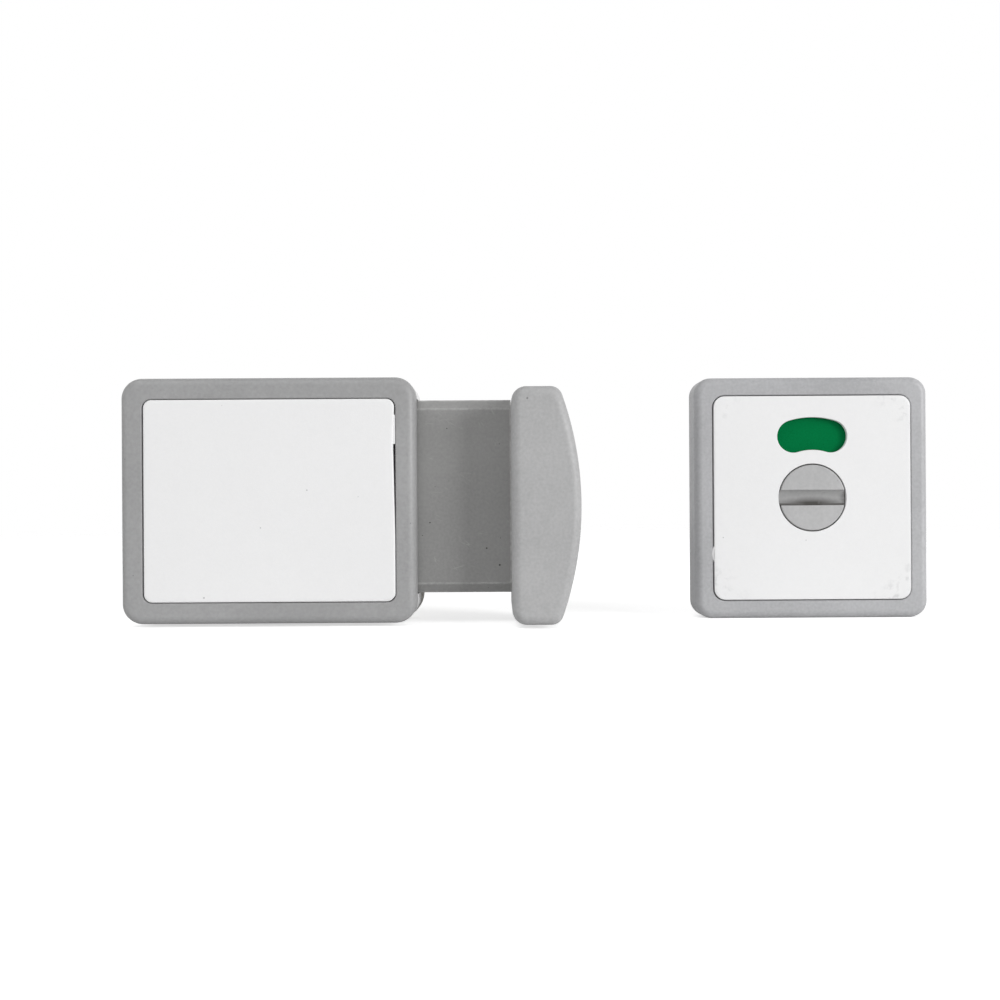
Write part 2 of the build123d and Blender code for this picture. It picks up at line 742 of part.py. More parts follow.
# Spring washer: a coned steel ring between the frame's floor and the disc's hub
with BuildPart() as spring_washer:
    seat = -frame_floor
    with BuildSketch(Plane(origin=(outdoor_x, 0, 0), x_dir=(1, 0, 0), z_dir=(0, 0, 1))):
        with BuildLine():
            Polyline(
                (washer_outer, seat),
                (washer_outer, seat - washer_thickness),
                (washer_inner, seat - washer_rise - washer_thickness),
                (washer_inner, seat - washer_rise),
                close=True,
            )
        make_face()
    revolve(axis=Axis((outdoor_x, 0, 0), (0, 1, 0)))
spring_washer.part.label = "spring_washer"

# Threaded inserts: two brass bushes for the fixing screws that come through the door
with BuildPart() as threaded_inserts:
    with BuildSketch(outdoor_at(0)):
        with Locations(*fixing_points):
            Circle(insert_diameter / 2)
            Circle(insert_bore / 2, mode=Mode.SUBTRACT)
    extrude(amount=insert_length)
    with BuildSketch(outdoor_at(insert_groove_low)):
        with Locations(*fixing_points):
            Circle(insert_diameter / 2)
            Circle(insert_groove_diameter / 2, mode=Mode.SUBTRACT)
    extrude(amount=insert_groove_high - insert_groove_low, mode=Mode.SUBTRACT)
threaded_inserts.part.label = "threaded_inserts"

os.makedirs("parts", exist_ok=True)
sub_parts = [
    back_plate,
    slide_channel,
    casing,
    cover,
    casing_screws,
    friction_spring,
    bolt,
    grip,
    grip_screws,
    pinion,
    outdoor_frame,
    faceplate,
    coin_turn,
    spindle,
    indicator_disc,
    green_panel,
    red_panel,
    retaining_clip,
    spring_washer,
    threaded_inserts,
]
for sub_part in sub_parts:
    export_step(sub_part.part, f"parts/{sub_part.part.label}.step")
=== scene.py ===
import logging
import math
from collections.abc import Callable, Iterator
from contextlib import contextmanager
from dataclasses import dataclass, field
from enum import Enum

import bmesh
import bpy
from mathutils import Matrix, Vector


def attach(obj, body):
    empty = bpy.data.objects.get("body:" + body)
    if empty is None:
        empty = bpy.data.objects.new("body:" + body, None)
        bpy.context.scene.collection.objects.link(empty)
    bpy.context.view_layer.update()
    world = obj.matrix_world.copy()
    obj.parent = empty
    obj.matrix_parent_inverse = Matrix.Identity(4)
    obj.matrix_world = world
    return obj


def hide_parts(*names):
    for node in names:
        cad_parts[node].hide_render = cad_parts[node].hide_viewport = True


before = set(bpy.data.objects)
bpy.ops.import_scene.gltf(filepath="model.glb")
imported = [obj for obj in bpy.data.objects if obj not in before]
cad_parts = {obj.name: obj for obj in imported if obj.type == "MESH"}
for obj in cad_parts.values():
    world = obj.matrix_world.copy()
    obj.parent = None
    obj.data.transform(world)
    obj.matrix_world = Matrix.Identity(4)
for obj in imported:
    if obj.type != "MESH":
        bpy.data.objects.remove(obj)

# Every new piece is modelled in millimetres in the frame's axes: X along the door, Y into it, Z up.
# A height is a distance from the door's face towards the viewer, so it lies at Y = -height.
MILLIMETRE = 0.001

# Places closer together than TOUCH are one place. A cutting tool stands SPILL out of what it cuts,
# and a piece that is welded on sits OVERLAP deep in what carries it.
TOUCH = 0.002
SPILL = 1.0
OVERLAP = 0.5

# Edges bent by more than SHARP_ANGLE are shaded sharp, and those bent by more than RIM_ANGLE can be
# rounded. A face looks along Y when FLAT of its normal does.
SHARP_ANGLE = math.radians(32)
RIM_ANGLE = math.radians(20)
FLAT = 0.99
QUARTER_TURN = math.pi / 2
ROUND_PROFILE = 0.5

log = logging.getLogger("latch")

Spot = tuple[float, float]
Span = tuple[float, float]
Point = tuple[float, float, float]
Colour = tuple[float, float, float]
Shade = tuple[float, float, float, float]
Socket = bpy.types.NodeSocket
Value = float | Socket
Inputs = dict[str | int, Value | Shade | Point]
Given = dict[str, Socket]
Element = bmesh.types.BMVert | bmesh.types.BMEdge | bmesh.types.BMFace
EdgeTest = Callable[[bmesh.types.BMEdge], bool]
PlaceTest = Callable[[Vector], bool]

UNIT: Span = (0.0, 1.0)
WHITE: Shade = (1.0, 1.0, 1.0, 1.0)


class Body(Enum):
    """The bodies of the latch that the new pieces ride on."""

    HOUSING = "housing"
    SLIDE = "slide"
    TURN = "turn"


class Slot(Enum):
    """The record's material slots, named for the new pieces."""

    WHITE_PLASTIC = "white_plastic"
    GREY_PLASTIC = "grey_plastic"


class Kind(Enum):
    """What is picked in edit mode."""

    POINT = "VERT"
    EDGE = "EDGE"
    FACE = "FACE"


class Boolean(Enum):
    """What a tool piece does to another piece."""

    CUT = "DIFFERENCE"
    WELD = "UNION"


class Sides(Enum):
    """How many flats a round has, by what it is for."""

    PILOT = 32
    SCREW = 48
    SHAFT = 64
    CAVITY = 96
    DISC = 128


class Axis(Enum):
    """The frame's axes."""

    X = "X"
    Y = "Y"
    Z = "Z"


def along_depth(edge: bmesh.types.BMEdge) -> bool:
    """Whether an edge runs straight into the door."""
    start, end = (vertex.co for vertex in edge.verts)
    return abs(start.x - end.x) < TOUCH and abs(start.z - end.z) < TOUCH


def is_bent(edge: bmesh.types.BMEdge) -> bool:
    """Whether two faces meet at a marked angle at an edge."""
    return edge.calc_face_angle(0) > RIM_ANGLE


def rim_at(height: float) -> EdgeTest:
    """A test for the bent edges that lie at a height."""
    return lambda edge: all(abs(vertex.co.y + height) < TOUCH for vertex in edge.verts) and is_bent(edge)


def faces_front(face: bmesh.types.BMFace) -> bool:
    """Whether a face looks at the viewer."""
    return face.normal.y < -FLAT


def faces_door(face: bmesh.types.BMFace) -> bool:
    """Whether a face looks at the door."""
    return face.normal.y > FLAT


def around(centre: Spot, reach: Spot) -> list[Spot]:
    """The four spots that lie as far as a reach across and up from a centre."""
    return [(centre[0] + a * reach[0], centre[1] + b * reach[1]) for a in (-1, 1) for b in (-1, 1)]


@dataclass(frozen=True)
class Rounding:
    """A rounded edge or corner: its radius and the number of its strips."""

    radius: float
    steps: int


@dataclass(frozen=True)
class Run:
    """A straight run of an outline, to an X and a Z."""

    to: Spot


@dataclass(frozen=True)
class Arc:
    """An arc of an outline round a centre; a positive angle goes counter-clockwise for the viewer."""

    centre: Spot
    angle: float
    steps: int

    def end(self, start: Spot) -> Spot:
        """Works out where the arc ends.

        Args:
            start: X and Z of its first point.

        Returns:
            X and Z of its last point.
        """
        across, up = start[0] - self.centre[0], start[1] - self.centre[1]
        sine, cosine = math.sin(self.angle), math.cos(self.angle)
        return self.centre[0] + across * cosine - up * sine, self.centre[1] + across * sine + up * cosine


class Workpiece:
    """One mesh on the bench, in millimetres until it is finished."""

    def __init__(self, name: str) -> None:
        """Takes the object that was just added.

        Args:
            name: The name that it gets.
        """
        self.thing = bpy.context.object
        self.thing.name = name
        self.thing.data.name = name
        bpy.ops.object.transform_apply(location=True, rotation=True, scale=True)

    @classmethod
    def block(cls, name: str, low: Point, high: Point) -> "Workpiece":
        """A box between two corners.

        Args:
            name: The piece's name.
            low: The corner with the least X, Y and Z.
            high: The corner opposite.

        Returns:
            The box on the bench.
        """
        bpy.ops.object.select_all(action="DESELECT")
        middle = [(a + b) / 2 for a, b in zip(low, high)]
        extent = [b - a for a, b in zip(low, high)]
        bpy.ops.mesh.primitive_cube_add(size=1, location=middle, scale=extent)
        return cls(name)

    @classmethod
    def slab(cls, name: str, centre: Spot, size: Spot, heights: Span) -> "Workpiece":
        """A box with its middle at a spot on the door.

        Args:
            name: The piece's name.
            centre: X and Z of its middle.
            size: Its sizes along X and Z.
            heights: The heights of its back and its front.

        Returns:
            The box on the bench.
        """
        half_x, half_z = size[0] / 2, size[1] / 2
        back, front = heights
        low = (centre[0] - half_x, -front, centre[1] - half_z)
        high = (centre[0] + half_x, -back, centre[1] + half_z)
        return cls.block(name, low, high)

    @classmethod
    def drum(cls, name: str, centre: Spot, radius: float, heights: Span, sides: Sides) -> "Workpiece":
        """A round bar whose axis runs into the door.

        Args:
            name: The piece's name.
            centre: X and Z of its axis.
            radius: Its radius.
            heights: The heights of its back and its front.
            sides: How many flats it has.

        Returns:
            The bar on the bench.
        """
        bpy.ops.object.select_all(action="DESELECT")
        back, front = heights
        bpy.ops.mesh.primitive_cylinder_add(
            vertices=sides.value,
            radius=radius,
            depth=front - back,
            location=(centre[0], -(back + front) / 2, centre[1]),
            rotation=(QUARTER_TURN, 0, 0),
        )
        return cls(name)

    @classmethod
    def rod(cls, name: str, centre: Point, radius: float, length: float, sides: Sides) -> "Workpiece":
        """A round bar whose axis runs along X.

        Args:
            name: The piece's name.
            centre: Its middle.
            radius: Its radius.
            length: Its length.
            sides: How many flats it has.

        Returns:
            The bar on the bench.
        """
        bpy.ops.object.select_all(action="DESELECT")
        bpy.ops.mesh.primitive_cylinder_add(
            vertices=sides.value, radius=radius, depth=length, location=centre, rotation=(0, QUARTER_TURN, 0)
        )
        return cls(name)

    @classmethod
    def drawn(cls, name: str, start: Spot, path: list[Run | Arc], heights: Span) -> "Workpiece":
        """A solid whose outline is drawn from one point, then filled and pulled out.

        Args:
            name: The piece's name.
            start: X and Z of the outline's first point.
            path: The runs and arcs that lead back to it.
            heights: The heights of its back and its front.

        Returns:
            The solid on the bench.
        """
        back, front = heights
        bpy.ops.object.select_all(action="DESELECT")
        bpy.ops.mesh.primitive_plane_add(size=1, location=(start[0], -back, start[1]))
        piece = cls(name)
        with piece.editing():
            bpy.ops.mesh.select_mode(type="VERT")
            bpy.ops.mesh.select_all(action="SELECT")
            bpy.ops.mesh.merge(type="CENTER")
            here = start
            for step in path:
                if isinstance(step, Run):
                    move = (step.to[0] - here[0], 0, step.to[1] - here[1])
                    bpy.ops.mesh.extrude_vertices_move(TRANSFORM_OT_translate={"value": move})
                    here = step.to
                else:
                    about = (step.centre[0], -back, step.centre[1])
                    bpy.ops.mesh.spin(steps=step.steps, angle=step.angle, center=about, axis=(0, 1, 0))
                    here = step.end(here)
            bpy.ops.mesh.select_all(action="SELECT")
            bpy.ops.mesh.remove_doubles(threshold=TOUCH)
            bpy.ops.mesh.select_all(action="SELECT")
            bpy.ops.mesh.edge_face_add()
            bpy.ops.mesh.extrude_region_move(TRANSFORM_OT_translate={"value": (0, back - front, 0)})
            bpy.ops.mesh.select_all(action="SELECT")
            bpy.ops.mesh.normals_make_consistent(inside=False)
        return piece

    def take_up(self) -> None:
        """Makes this piece the only one selected."""
        bpy.ops.object.select_all(action="DESELECT")
        self.thing.select_set(True)
        bpy.context.view_layer.objects.active = self.thing

    @contextmanager
    def editing(self) -> Iterator[None]:
        """Holds this piece in edit mode, with nothing selected at the start.

        Yields:
            Nothing; the piece is in edit mode meanwhile.
        """
        self.take_up()
        bpy.ops.object.mode_set(mode="EDIT")
        bpy.ops.mesh.select_all(action="DESELECT")
        yield
        bpy.ops.object.mode_set(mode="OBJECT")

    def pick(self, kind: Kind, test: Callable[[Element], bool]) -> None:
        """Selects what passes a test, in edit mode.

        Args:
            kind: Whether points, edges or faces are meant.
            test: Which of them.
        """
        bpy.ops.mesh.select_mode(type=kind.value)
        bpy.ops.mesh.select_all(action="DESELECT")
        mesh = bmesh.from_edit_mesh(self.thing.data)
        elements = {Kind.POINT: mesh.verts, Kind.EDGE: mesh.edges, Kind.FACE: mesh.faces}[kind]
        chosen = [element for element in elements if test(element)]
        if not chosen:
            raise ValueError(f"nothing of {self.thing.name} passes the test")
        for element in chosen:
            element.select_set(True)
        mesh.select_flush_mode()
        bmesh.update_edit_mesh(self.thing.data)

    def soften(self, test: EdgeTest, rounding: Rounding) -> "Workpiece":
        """Rounds the edges that pass a test.

        Args:
            test: Which edges.
            rounding: How they are rounded.

        Returns:
            The same piece.
        """
        with self.editing():
            self.pick(Kind.EDGE, test)
            bpy.ops.mesh.bevel(
                offset=rounding.radius,
                offset_type="OFFSET",
                segments=rounding.steps,
                profile=ROUND_PROFILE,
                affect="EDGES",
            )
        return self

    def slice_at(self, z: float) -> None:
        """Adds a level cut all through the piece.

        Args:
            z: Where the cut lies.
        """
        with self.editing():
            bpy.ops.mesh.select_all(action="SELECT")
            bpy.ops.mesh.bisect(plane_co=(0, 0, z), plane_no=(0, 0, 1))

    def shift(self, test: PlaceTest, move: Point) -> None:
        """Moves the points whose place passes a test.

        Args:
            test: Which places.
            move: How far along X, Y and Z.
        """
        with self.editing():
            self.pick(Kind.POINT, lambda point: test(point.co))
            bpy.ops.transform.translate(value=move)

    def combine(self, tool: "Workpiece", operation: Boolean) -> None:
        """Applies a boolean of this piece with a tool piece, which is used up.

        Args:
            tool: The tool piece.
            operation: What the tool does.
        """
        self.take_up()
        modifier = self.thing.modifiers.new("combine", "BOOLEAN")
        modifier.operation = operation.value
        modifier.solver = "EXACT"
        modifier.object = tool.thing
        bpy.ops.object.modifier_apply(modifier=modifier.name)
        bpy.data.objects.remove(tool.thing)

    def cut(self, *tools: "Workpiece") -> None:
        """Cuts tool pieces out of this one."""
        for tool in tools:
            self.combine(tool, Boolean.CUT)

    def weld(self, *tools: "Workpiece") -> None:
        """Joins tool pieces to this one as one solid."""
        for tool in tools:
            self.combine(tool, Boolean.WELD)

    def finish(self, body: Body, surface: "Finish", slot: Slot, *nodes: str) -> None:
        """Closes the mesh, brings it to metres, shades it and hands it to the frame.

        Args:
            body: The body that it rides on.
            surface: Its finish.
            slot: The record's material slot; not used.
            *nodes: The CAD nodes that it stands for.
        """
        with self.editing():
            bpy.ops.mesh.select_all(action="SELECT")
            bpy.ops.mesh.remove_doubles(threshold=TOUCH)
            bpy.ops.mesh.dissolve_degenerate(threshold=TOUCH / 2)
            bpy.ops.mesh.select_all(action="SELECT")
            bpy.ops.mesh.normals_make_consistent(inside=False)
        self.take_up()
        self.thing.scale = (MILLIMETRE, MILLIMETRE, MILLIMETRE)
        bpy.ops.object.transform_apply(location=False, rotation=False, scale=True)
        bpy.ops.object.shade_smooth_by_angle(angle=SHARP_ANGLE)
        weighted = self.thing.modifiers.new("flat faces", "WEIGHTED_NORMAL")
        weighted.keep_sharp = True
        bpy.ops.object.modifier_apply(modifier=weighted.name)
        self.thing.data.materials.clear()
        self.thing.data.materials.append(surface.material())
        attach(self.thing, body.value)
        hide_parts(*nodes)
        log.info("%s: %d faces, on %s", self.thing.name, len(self.thing.data.polygons), body.value)


class Wiring:
    """A node tree of a material or of a shared group, with short ways to add and join nodes."""

    def __init__(self, tree: bpy.types.NodeTree) -> None:
        """Starts on an empty tree."""
        self.tree = tree
        tree.nodes.clear()

    def feed(self, made: bpy.types.Node, inputs: Inputs) -> None:
        """Gives a node's inputs what they take.

        Args:
            made: The node.
            inputs: Values or sockets, by the input's name or number.
        """
        for name, value in inputs.items():
            if isinstance(value, Socket):
                self.tree.links.new(value, made.inputs[name])
            else:
                made.inputs[name].default_value = value

    def node(self, kind: str, inputs: Inputs | None = None, **settings: object) -> bpy.types.Node:
        """Adds a node.

        Args:
            kind: The node's type without the word ShaderNode.
            inputs: Values or sockets, by the input's name or number.
            **settings: The node's own properties.

        Returns:
            The node.
        """
        made = self.tree.nodes.new(f"ShaderNode{kind}")
        for name, value in settings.items():
            setattr(made, name, value)
        self.feed(made, inputs or {})
        return made

    def math(self, operation: str, first: Value, second: Value = 0.0, clamp: bool = False) -> Socket:
        """The result of a Math node."""
        return self.node("Math", {0: first, 1: second}, operation=operation, use_clamp=clamp).outputs[0]

    def times(self, first: Value, second: Value, clamp: bool = False) -> Socket:
        """One value times another."""
        return self.math("MULTIPLY", first, second, clamp)

    def weighted(self, value: Value, share: Value, rest: Value) -> Socket:
        """A value times a share, added to a rest."""
        return self.node("Math", {0: value, 1: share, 2: rest}, operation="MULTIPLY_ADD").outputs[0]

    def blend(self, factor: Value, first: Socket | Shade, second: Socket | Shade) -> Socket:
        """A mix of two colours."""
        return self.node("Mix", {0: factor, 6: first, 7: second}, data_type="RGBA").outputs[2]

    def remap(self, value: Value, reach: Span, wanted: Span = UNIT) -> Socket:
        """A value carried from one range to another, and held inside it."""
        ends = dict(zip(("From Min", "From Max", "To Min", "To Max"), reach + wanted))
        return self.node("MapRange", {"Value": value} | ends).outputs[0]

    def noise(self, place: Socket, scale: Value, detail: float) -> Socket:
        """Cloudy noise from 0 to 1."""
        return self.node("TexNoise", {"Vector": place, "Scale": scale, "Detail": detail}).outputs["Fac"]

    def bump(self, height: Socket, distance: float, strength: float = 1.0) -> Socket:
        """The normal of a surface with a height on it."""
        return self.node("Bump", {"Height": height, "Distance": distance, "Strength": strength}).outputs[0]

    def place(self) -> Socket:
        """The point's place on its own object."""
        return self.node("TexCoord").outputs["Object"]

    def along(self, axis: Axis) -> Socket:
        """The point's place along one axis."""
        return self.node("SeparateXYZ", {0: self.place()}).outputs[axis.value]

    def away(self, axis: Axis, middle: float) -> Socket:
        """How far the point lies from a middle along one axis."""
        return self.math("ABSOLUTE", self.math("SUBTRACT", self.along(axis), middle))


class Effect(Enum):
    """The surface effects that several finishes share."""

    TONE = "tone_drift"
    GRAIN = "fine_grain"
    WEAR = "edge_wear"
    SPECKS = "dust_specks"
    SMUDGES = "faint_smudges"
    SCRATCHES = "hair_scratches"
    BRUSHING = "brushed_lines"
    STREAKS = "upright_streaks"


@dataclass
class EffectShelf:
    """The shared node groups, each built once, with the numbers that all their uses share."""

    made: dict[Effect, bpy.types.NodeTree] = field(default_factory=dict)
    mottle_finer: float = 36.0
    mottle_range: Span = (0.68, 1.32)
    bevel_samples: int = 6
    rubbed_range: Span = (0.38, 0.62)
    rubbed_left: Span = (0.3, 1.0)
    near_bend: Span = (0.0, 0.06)
    patch_scale: float = 120.0
    patch_range: Span = (0.45, 0.65)
    patch_share: Span = (0.15, 2.5)
    dot_hardness: float = 25.0
    mark_range: Span = (0.52, 0.72)
    handled_scale: float = 60.0
    handled_range: Span = (0.35, 0.65)
    handled_share: Span = (0.3, 1.0)
    hair_leans: tuple[float, ...] = (-0.75, -1.2)
    hair_stretches: tuple[float, ...] = (6.0, 4.0)
    hair_gate_scale: float = 230.0
    hair_hardness: float = 9.0
    brushed_stretch: Point = (0.03, 1.0, 1.0)
    upright_stretch: Point = (1.0, 1.0, 0.08)

    def get(self, kind: Effect) -> bpy.types.NodeTree:
        """Finds the group for an effect, and builds it at its first use.

        Args:
            kind: Which effect.

        Returns:
            The group.
        """
        builders = {
            Effect.TONE: self.tone,
            Effect.GRAIN: self.grain,
            Effect.WEAR: self.wear,
            Effect.SPECKS: self.specks,
            Effect.SMUDGES: self.smudges,
            Effect.SCRATCHES: self.scratches,
            Effect.BRUSHING: self.brushing,
            Effect.STREAKS: self.streaks,
        }
        if kind not in self.made:
            builders[kind]()
        return self.made[kind]

    def start(self, kind: Effect, inputs: dict[str, float], *outputs: str) -> tuple[Wiring, Given]:
        """Opens a group with number inputs and number outputs.

        Args:
            kind: Which effect it is.
            inputs: The names of its inputs and their usual values.
            *outputs: The names of its outputs.

        Returns:
            The group's wiring, and the sockets of its inputs by name.
        """
        group = bpy.data.node_groups.new(kind.value, "ShaderNodeTree")
        for name, value in inputs.items():
            socket = group.interface.new_socket(name, in_out="INPUT", socket_type="NodeSocketFloat")
            socket.default_value = value
        for name in outputs:
            group.interface.new_socket(name, in_out="OUTPUT", socket_type="NodeSocketFloat")
        self.made[kind] = group
        wires = Wiring(group)
        given = group.nodes.new("NodeGroupInput")
        return wires, {name: given.outputs[name] for name in inputs}

    def close(self, wires: Wiring, *results: Socket) -> None:
        """Joins the results to the group's outputs."""
        end = wires.tree.nodes.new("NodeGroupOutput")
        wires.feed(end, dict(enumerate(results)))

    def tone(self) -> None:
        """Slow clouds and a fine mottle of lighter and darker tone, from 0 to 1."""
        wires, given = self.start(Effect.TONE, {"Scale": 40.0}, "Tone")
        place = wires.place()
        clouds = wires.noise(place, given["Scale"], detail=3.0)
        mottle = wires.noise(place, wires.times(given["Scale"], self.mottle_finer), detail=2.0)
        self.close(wires, wires.remap(wires.math("ADD", clouds, mottle), self.mottle_range))

    def grain(self) -> None:
        """The height of a spark-eroded mould's fine grain."""
        wires, given = self.start(Effect.GRAIN, {"Scale": 6000.0}, "Height")
        place = wires.place()
        pits = wires.node("TexVoronoi", {"Vector": place, "Scale": given["Scale"]}, feature="SMOOTH_F1")
        rough = wires.noise(place, given["Scale"], detail=3.0)
        self.close(wires, wires.math("ADD", pits.outputs["Distance"], rough))

    def wear(self) -> None:
        """Masks of the edges: the line along them, broken up by noise, which finishes lighten as rubbed wear
        and as a painted highlight, and the soft zone beside it.
        """
        usual = {"Radius": 0.0004, "Gain": 5.0, "Scale": 900.0}
        wires, given = self.start(Effect.WEAR, usual, "Mask", "Near")
        rounded = wires.node("Bevel", {"Radius": given["Radius"]}, samples=self.bevel_samples)
        surface = wires.node("NewGeometry").outputs["Normal"]
        turned = wires.node("VectorMath", {0: rounded.outputs[0], 1: surface}, operation="DOT_PRODUCT")
        bent = wires.math("SUBTRACT", 1.0, turned.outputs["Value"])
        strength = wires.times(bent, given["Gain"], clamp=True)
        cloud = wires.noise(wires.place(), given["Scale"], detail=4.0)
        broken = wires.remap(cloud, self.rubbed_range, self.rubbed_left)
        self.close(wires, wires.times(strength, broken, clamp=True), wires.remap(bent, self.near_bend))

    def specks(self) -> None:
        """A mask of small scattered dots, which gather in patches."""
        wires, given = self.start(Effect.SPECKS, {"Scale": 700.0, "Share": 0.1, "Size": 0.2}, "Mask")
        place = wires.place()
        cells = wires.node("TexVoronoi", {"Vector": place, "Scale": given["Scale"]})
        drawn = wires.node("TexWhiteNoise", {"Vector": cells.outputs["Color"]})
        chance = wires.node("SeparateColor", {0: drawn.outputs["Color"]})
        patches = wires.noise(place, self.patch_scale, detail=1.0)
        gathered = wires.remap(patches, self.patch_range, self.patch_share)
        has_one = wires.math("LESS_THAN", chance.outputs[0], wires.times(given["Share"], gathered))
        size = wires.times(given["Size"], chance.outputs[1])
        depth = wires.math("SUBTRACT", size, cells.outputs["Distance"])
        self.close(wires, wires.times(wires.times(depth, self.dot_hardness, clamp=True), has_one))

    def smudges(self) -> None:
        """A mask of faint marks a millimetre or two across, as handling leaves them."""
        wires, given = self.start(Effect.SMUDGES, {"Scale": 420.0}, "Mask")
        place = wires.place()
        marks = wires.remap(wires.noise(place, given["Scale"], detail=5.0), self.mark_range)
        wide = wires.noise(place, self.handled_scale, detail=2.0)
        self.close(wires, wires.times(marks, wires.remap(wide, self.handled_range, self.handled_share)))

    def scratches(self) -> None:
        """A mask of short hair scratches that run slantwise."""
        usual = {"Scale": 420.0, "Width": 0.014, "Share": 0.4}
        wires, given = self.start(Effect.SCRATCHES, usual, "Mask")
        place = wires.place()
        hairs = []
        for lean, stretch in zip(self.hair_leans, self.hair_stretches):
            slant = {"Vector": place, "Rotation": (0.0, lean, 0.0), "Scale": (1.0, 1.0, stretch)}
            slanted = wires.node("Mapping", slant, vector_type="TEXTURE").outputs[0]
            net = {"Vector": slanted, "Scale": given["Scale"]}
            cells = wires.node("TexVoronoi", net, feature="DISTANCE_TO_EDGE")
            hairs.append(wires.math("LESS_THAN", cells.outputs["Distance"], given["Width"]))
        gate = wires.noise(place, self.hair_gate_scale, detail=2.0)
        over = wires.math("SUBTRACT", gate, wires.math("SUBTRACT", 1.0, given["Share"]))
        shown = wires.times(over, self.hair_hardness, clamp=True)
        self.close(wires, wires.times(wires.math("MAXIMUM", *hairs), shown))

    def lines(self, kind: Effect, scale: float, stretch: Point, detail: float) -> None:
        """Builds a group of soft lines, from 0 to 1, out of noise that is stretched one way.

        Args:
            kind: Which effect it is.
            scale: The usual scale of the noise.
            stretch: How finely the noise changes along each axis, as a share of that.
            detail: How rough the noise is.
        """
        wires, given = self.start(kind, {"Scale": scale}, "Lines")
        drawn = wires.node("Mapping", {"Vector": wires.place(), "Scale": stretch}).outputs[0]
        self.close(wires, wires.noise(drawn, given["Scale"], detail))

    def brushing(self) -> None:
        """Fine lines along X, as rolled or brushed metal has them."""
        self.lines(Effect.BRUSHING, 3000.0, self.brushed_stretch, detail=2.0)

    def streaks(self) -> None:
        """Soft upright streaks, which the coin turn lightens as a painted sheen."""
        self.lines(Effect.STREAKS, 900.0, self.upright_stretch, detail=3.0)


EFFECTS = EffectShelf()


def effect_node(wires: Wiring, kind: Effect, **inputs: Value) -> bpy.types.Node:
    """Places a shared effect in a material.

    Args:
        wires: The material's wiring.
        kind: Which effect.
        **inputs: The values or sockets of its inputs, by name.

    Returns:
        The group's node.
    """
    placed = wires.node("Group", node_tree=EFFECTS.get(kind))
    wires.feed(placed, {name.capitalize(): value for name, value in inputs.items()})
    return placed


def effect(wires: Wiring, kind: Effect, **inputs: Value) -> Socket:
    """The first output of a shared effect placed in a material."""
    return effect_node(wires, kind, **inputs).outputs[0]


def shaded(colour: Colour, share: float = 1.0) -> Shade:
    """A colour made lighter or darker by a share, with full opacity."""
    return (*(min(1.0, part * share) for part in colour), 1.0)


@dataclass(frozen=True)
class Finish:
    """A surface finish, made into one material that its pieces share."""

    name: str
    colour: Colour
    roughness: float = 0.4
    gloss_change: Span = (-0.08, 0.12)
    drift: float = 0.15
    tone_scale: float = 60.0

    def material(self) -> bpy.types.Material:
        """Finds the finish's material, and builds it at its first use.

        Returns:
            The material.
        """
        found = bpy.data.materials.get(self.name)
        if found:
            return found
        made = bpy.data.materials.new(self.name)
        made.use_nodes = True
        wires = Wiring(made.node_tree)
        shader = wires.node("BsdfPrincipled")
        end = wires.node("OutputMaterial", {"Surface": shader.outputs[0]})
        end.is_active_output = True
        self.wire(wires, shader)
        return made

    def wire(self, wires: Wiring, shader: bpy.types.Node) -> None:
        """Joins the finish's textures to the shader."""
        raise NotImplementedError

    def tone(self, wires: Wiring) -> Socket:
        """The slow drift of the finish's tone, from 0 to 1."""
        return effect(wires, Effect.TONE, scale=self.tone_scale)

    def drifting(self, wires: Wiring, tone: Socket) -> Socket:
        """The finish's colour, darker and lighter as its tone drifts."""
        return wires.blend(tone, shaded(self.colour, 1 - self.drift), shaded(self.colour, 1 + self.drift))

    def layered(self, wires: Wiring, base: Socket, *layers: tuple[Socket, float]) -> Socket:
        """Lays lighter and darker tones of the finish over a colour.

        Args:
            wires: The material's wiring.
            base: The colour below.
            *layers: The mask and the lightness of each layer, the lowest first.

        Returns:
            The colour with the layers on it.
        """
        for mask, share in layers:
            base = wires.blend(mask, base, shaded(self.colour, share))
        return base

    def gloss(self, wires: Wiring, pattern: Socket, reach: Span = UNIT) -> Socket:
        """The roughness, which follows a pattern."""
        least, most = self.gloss_change
        return wires.remap(pattern, reach, (self.roughness + least, self.roughness + most))


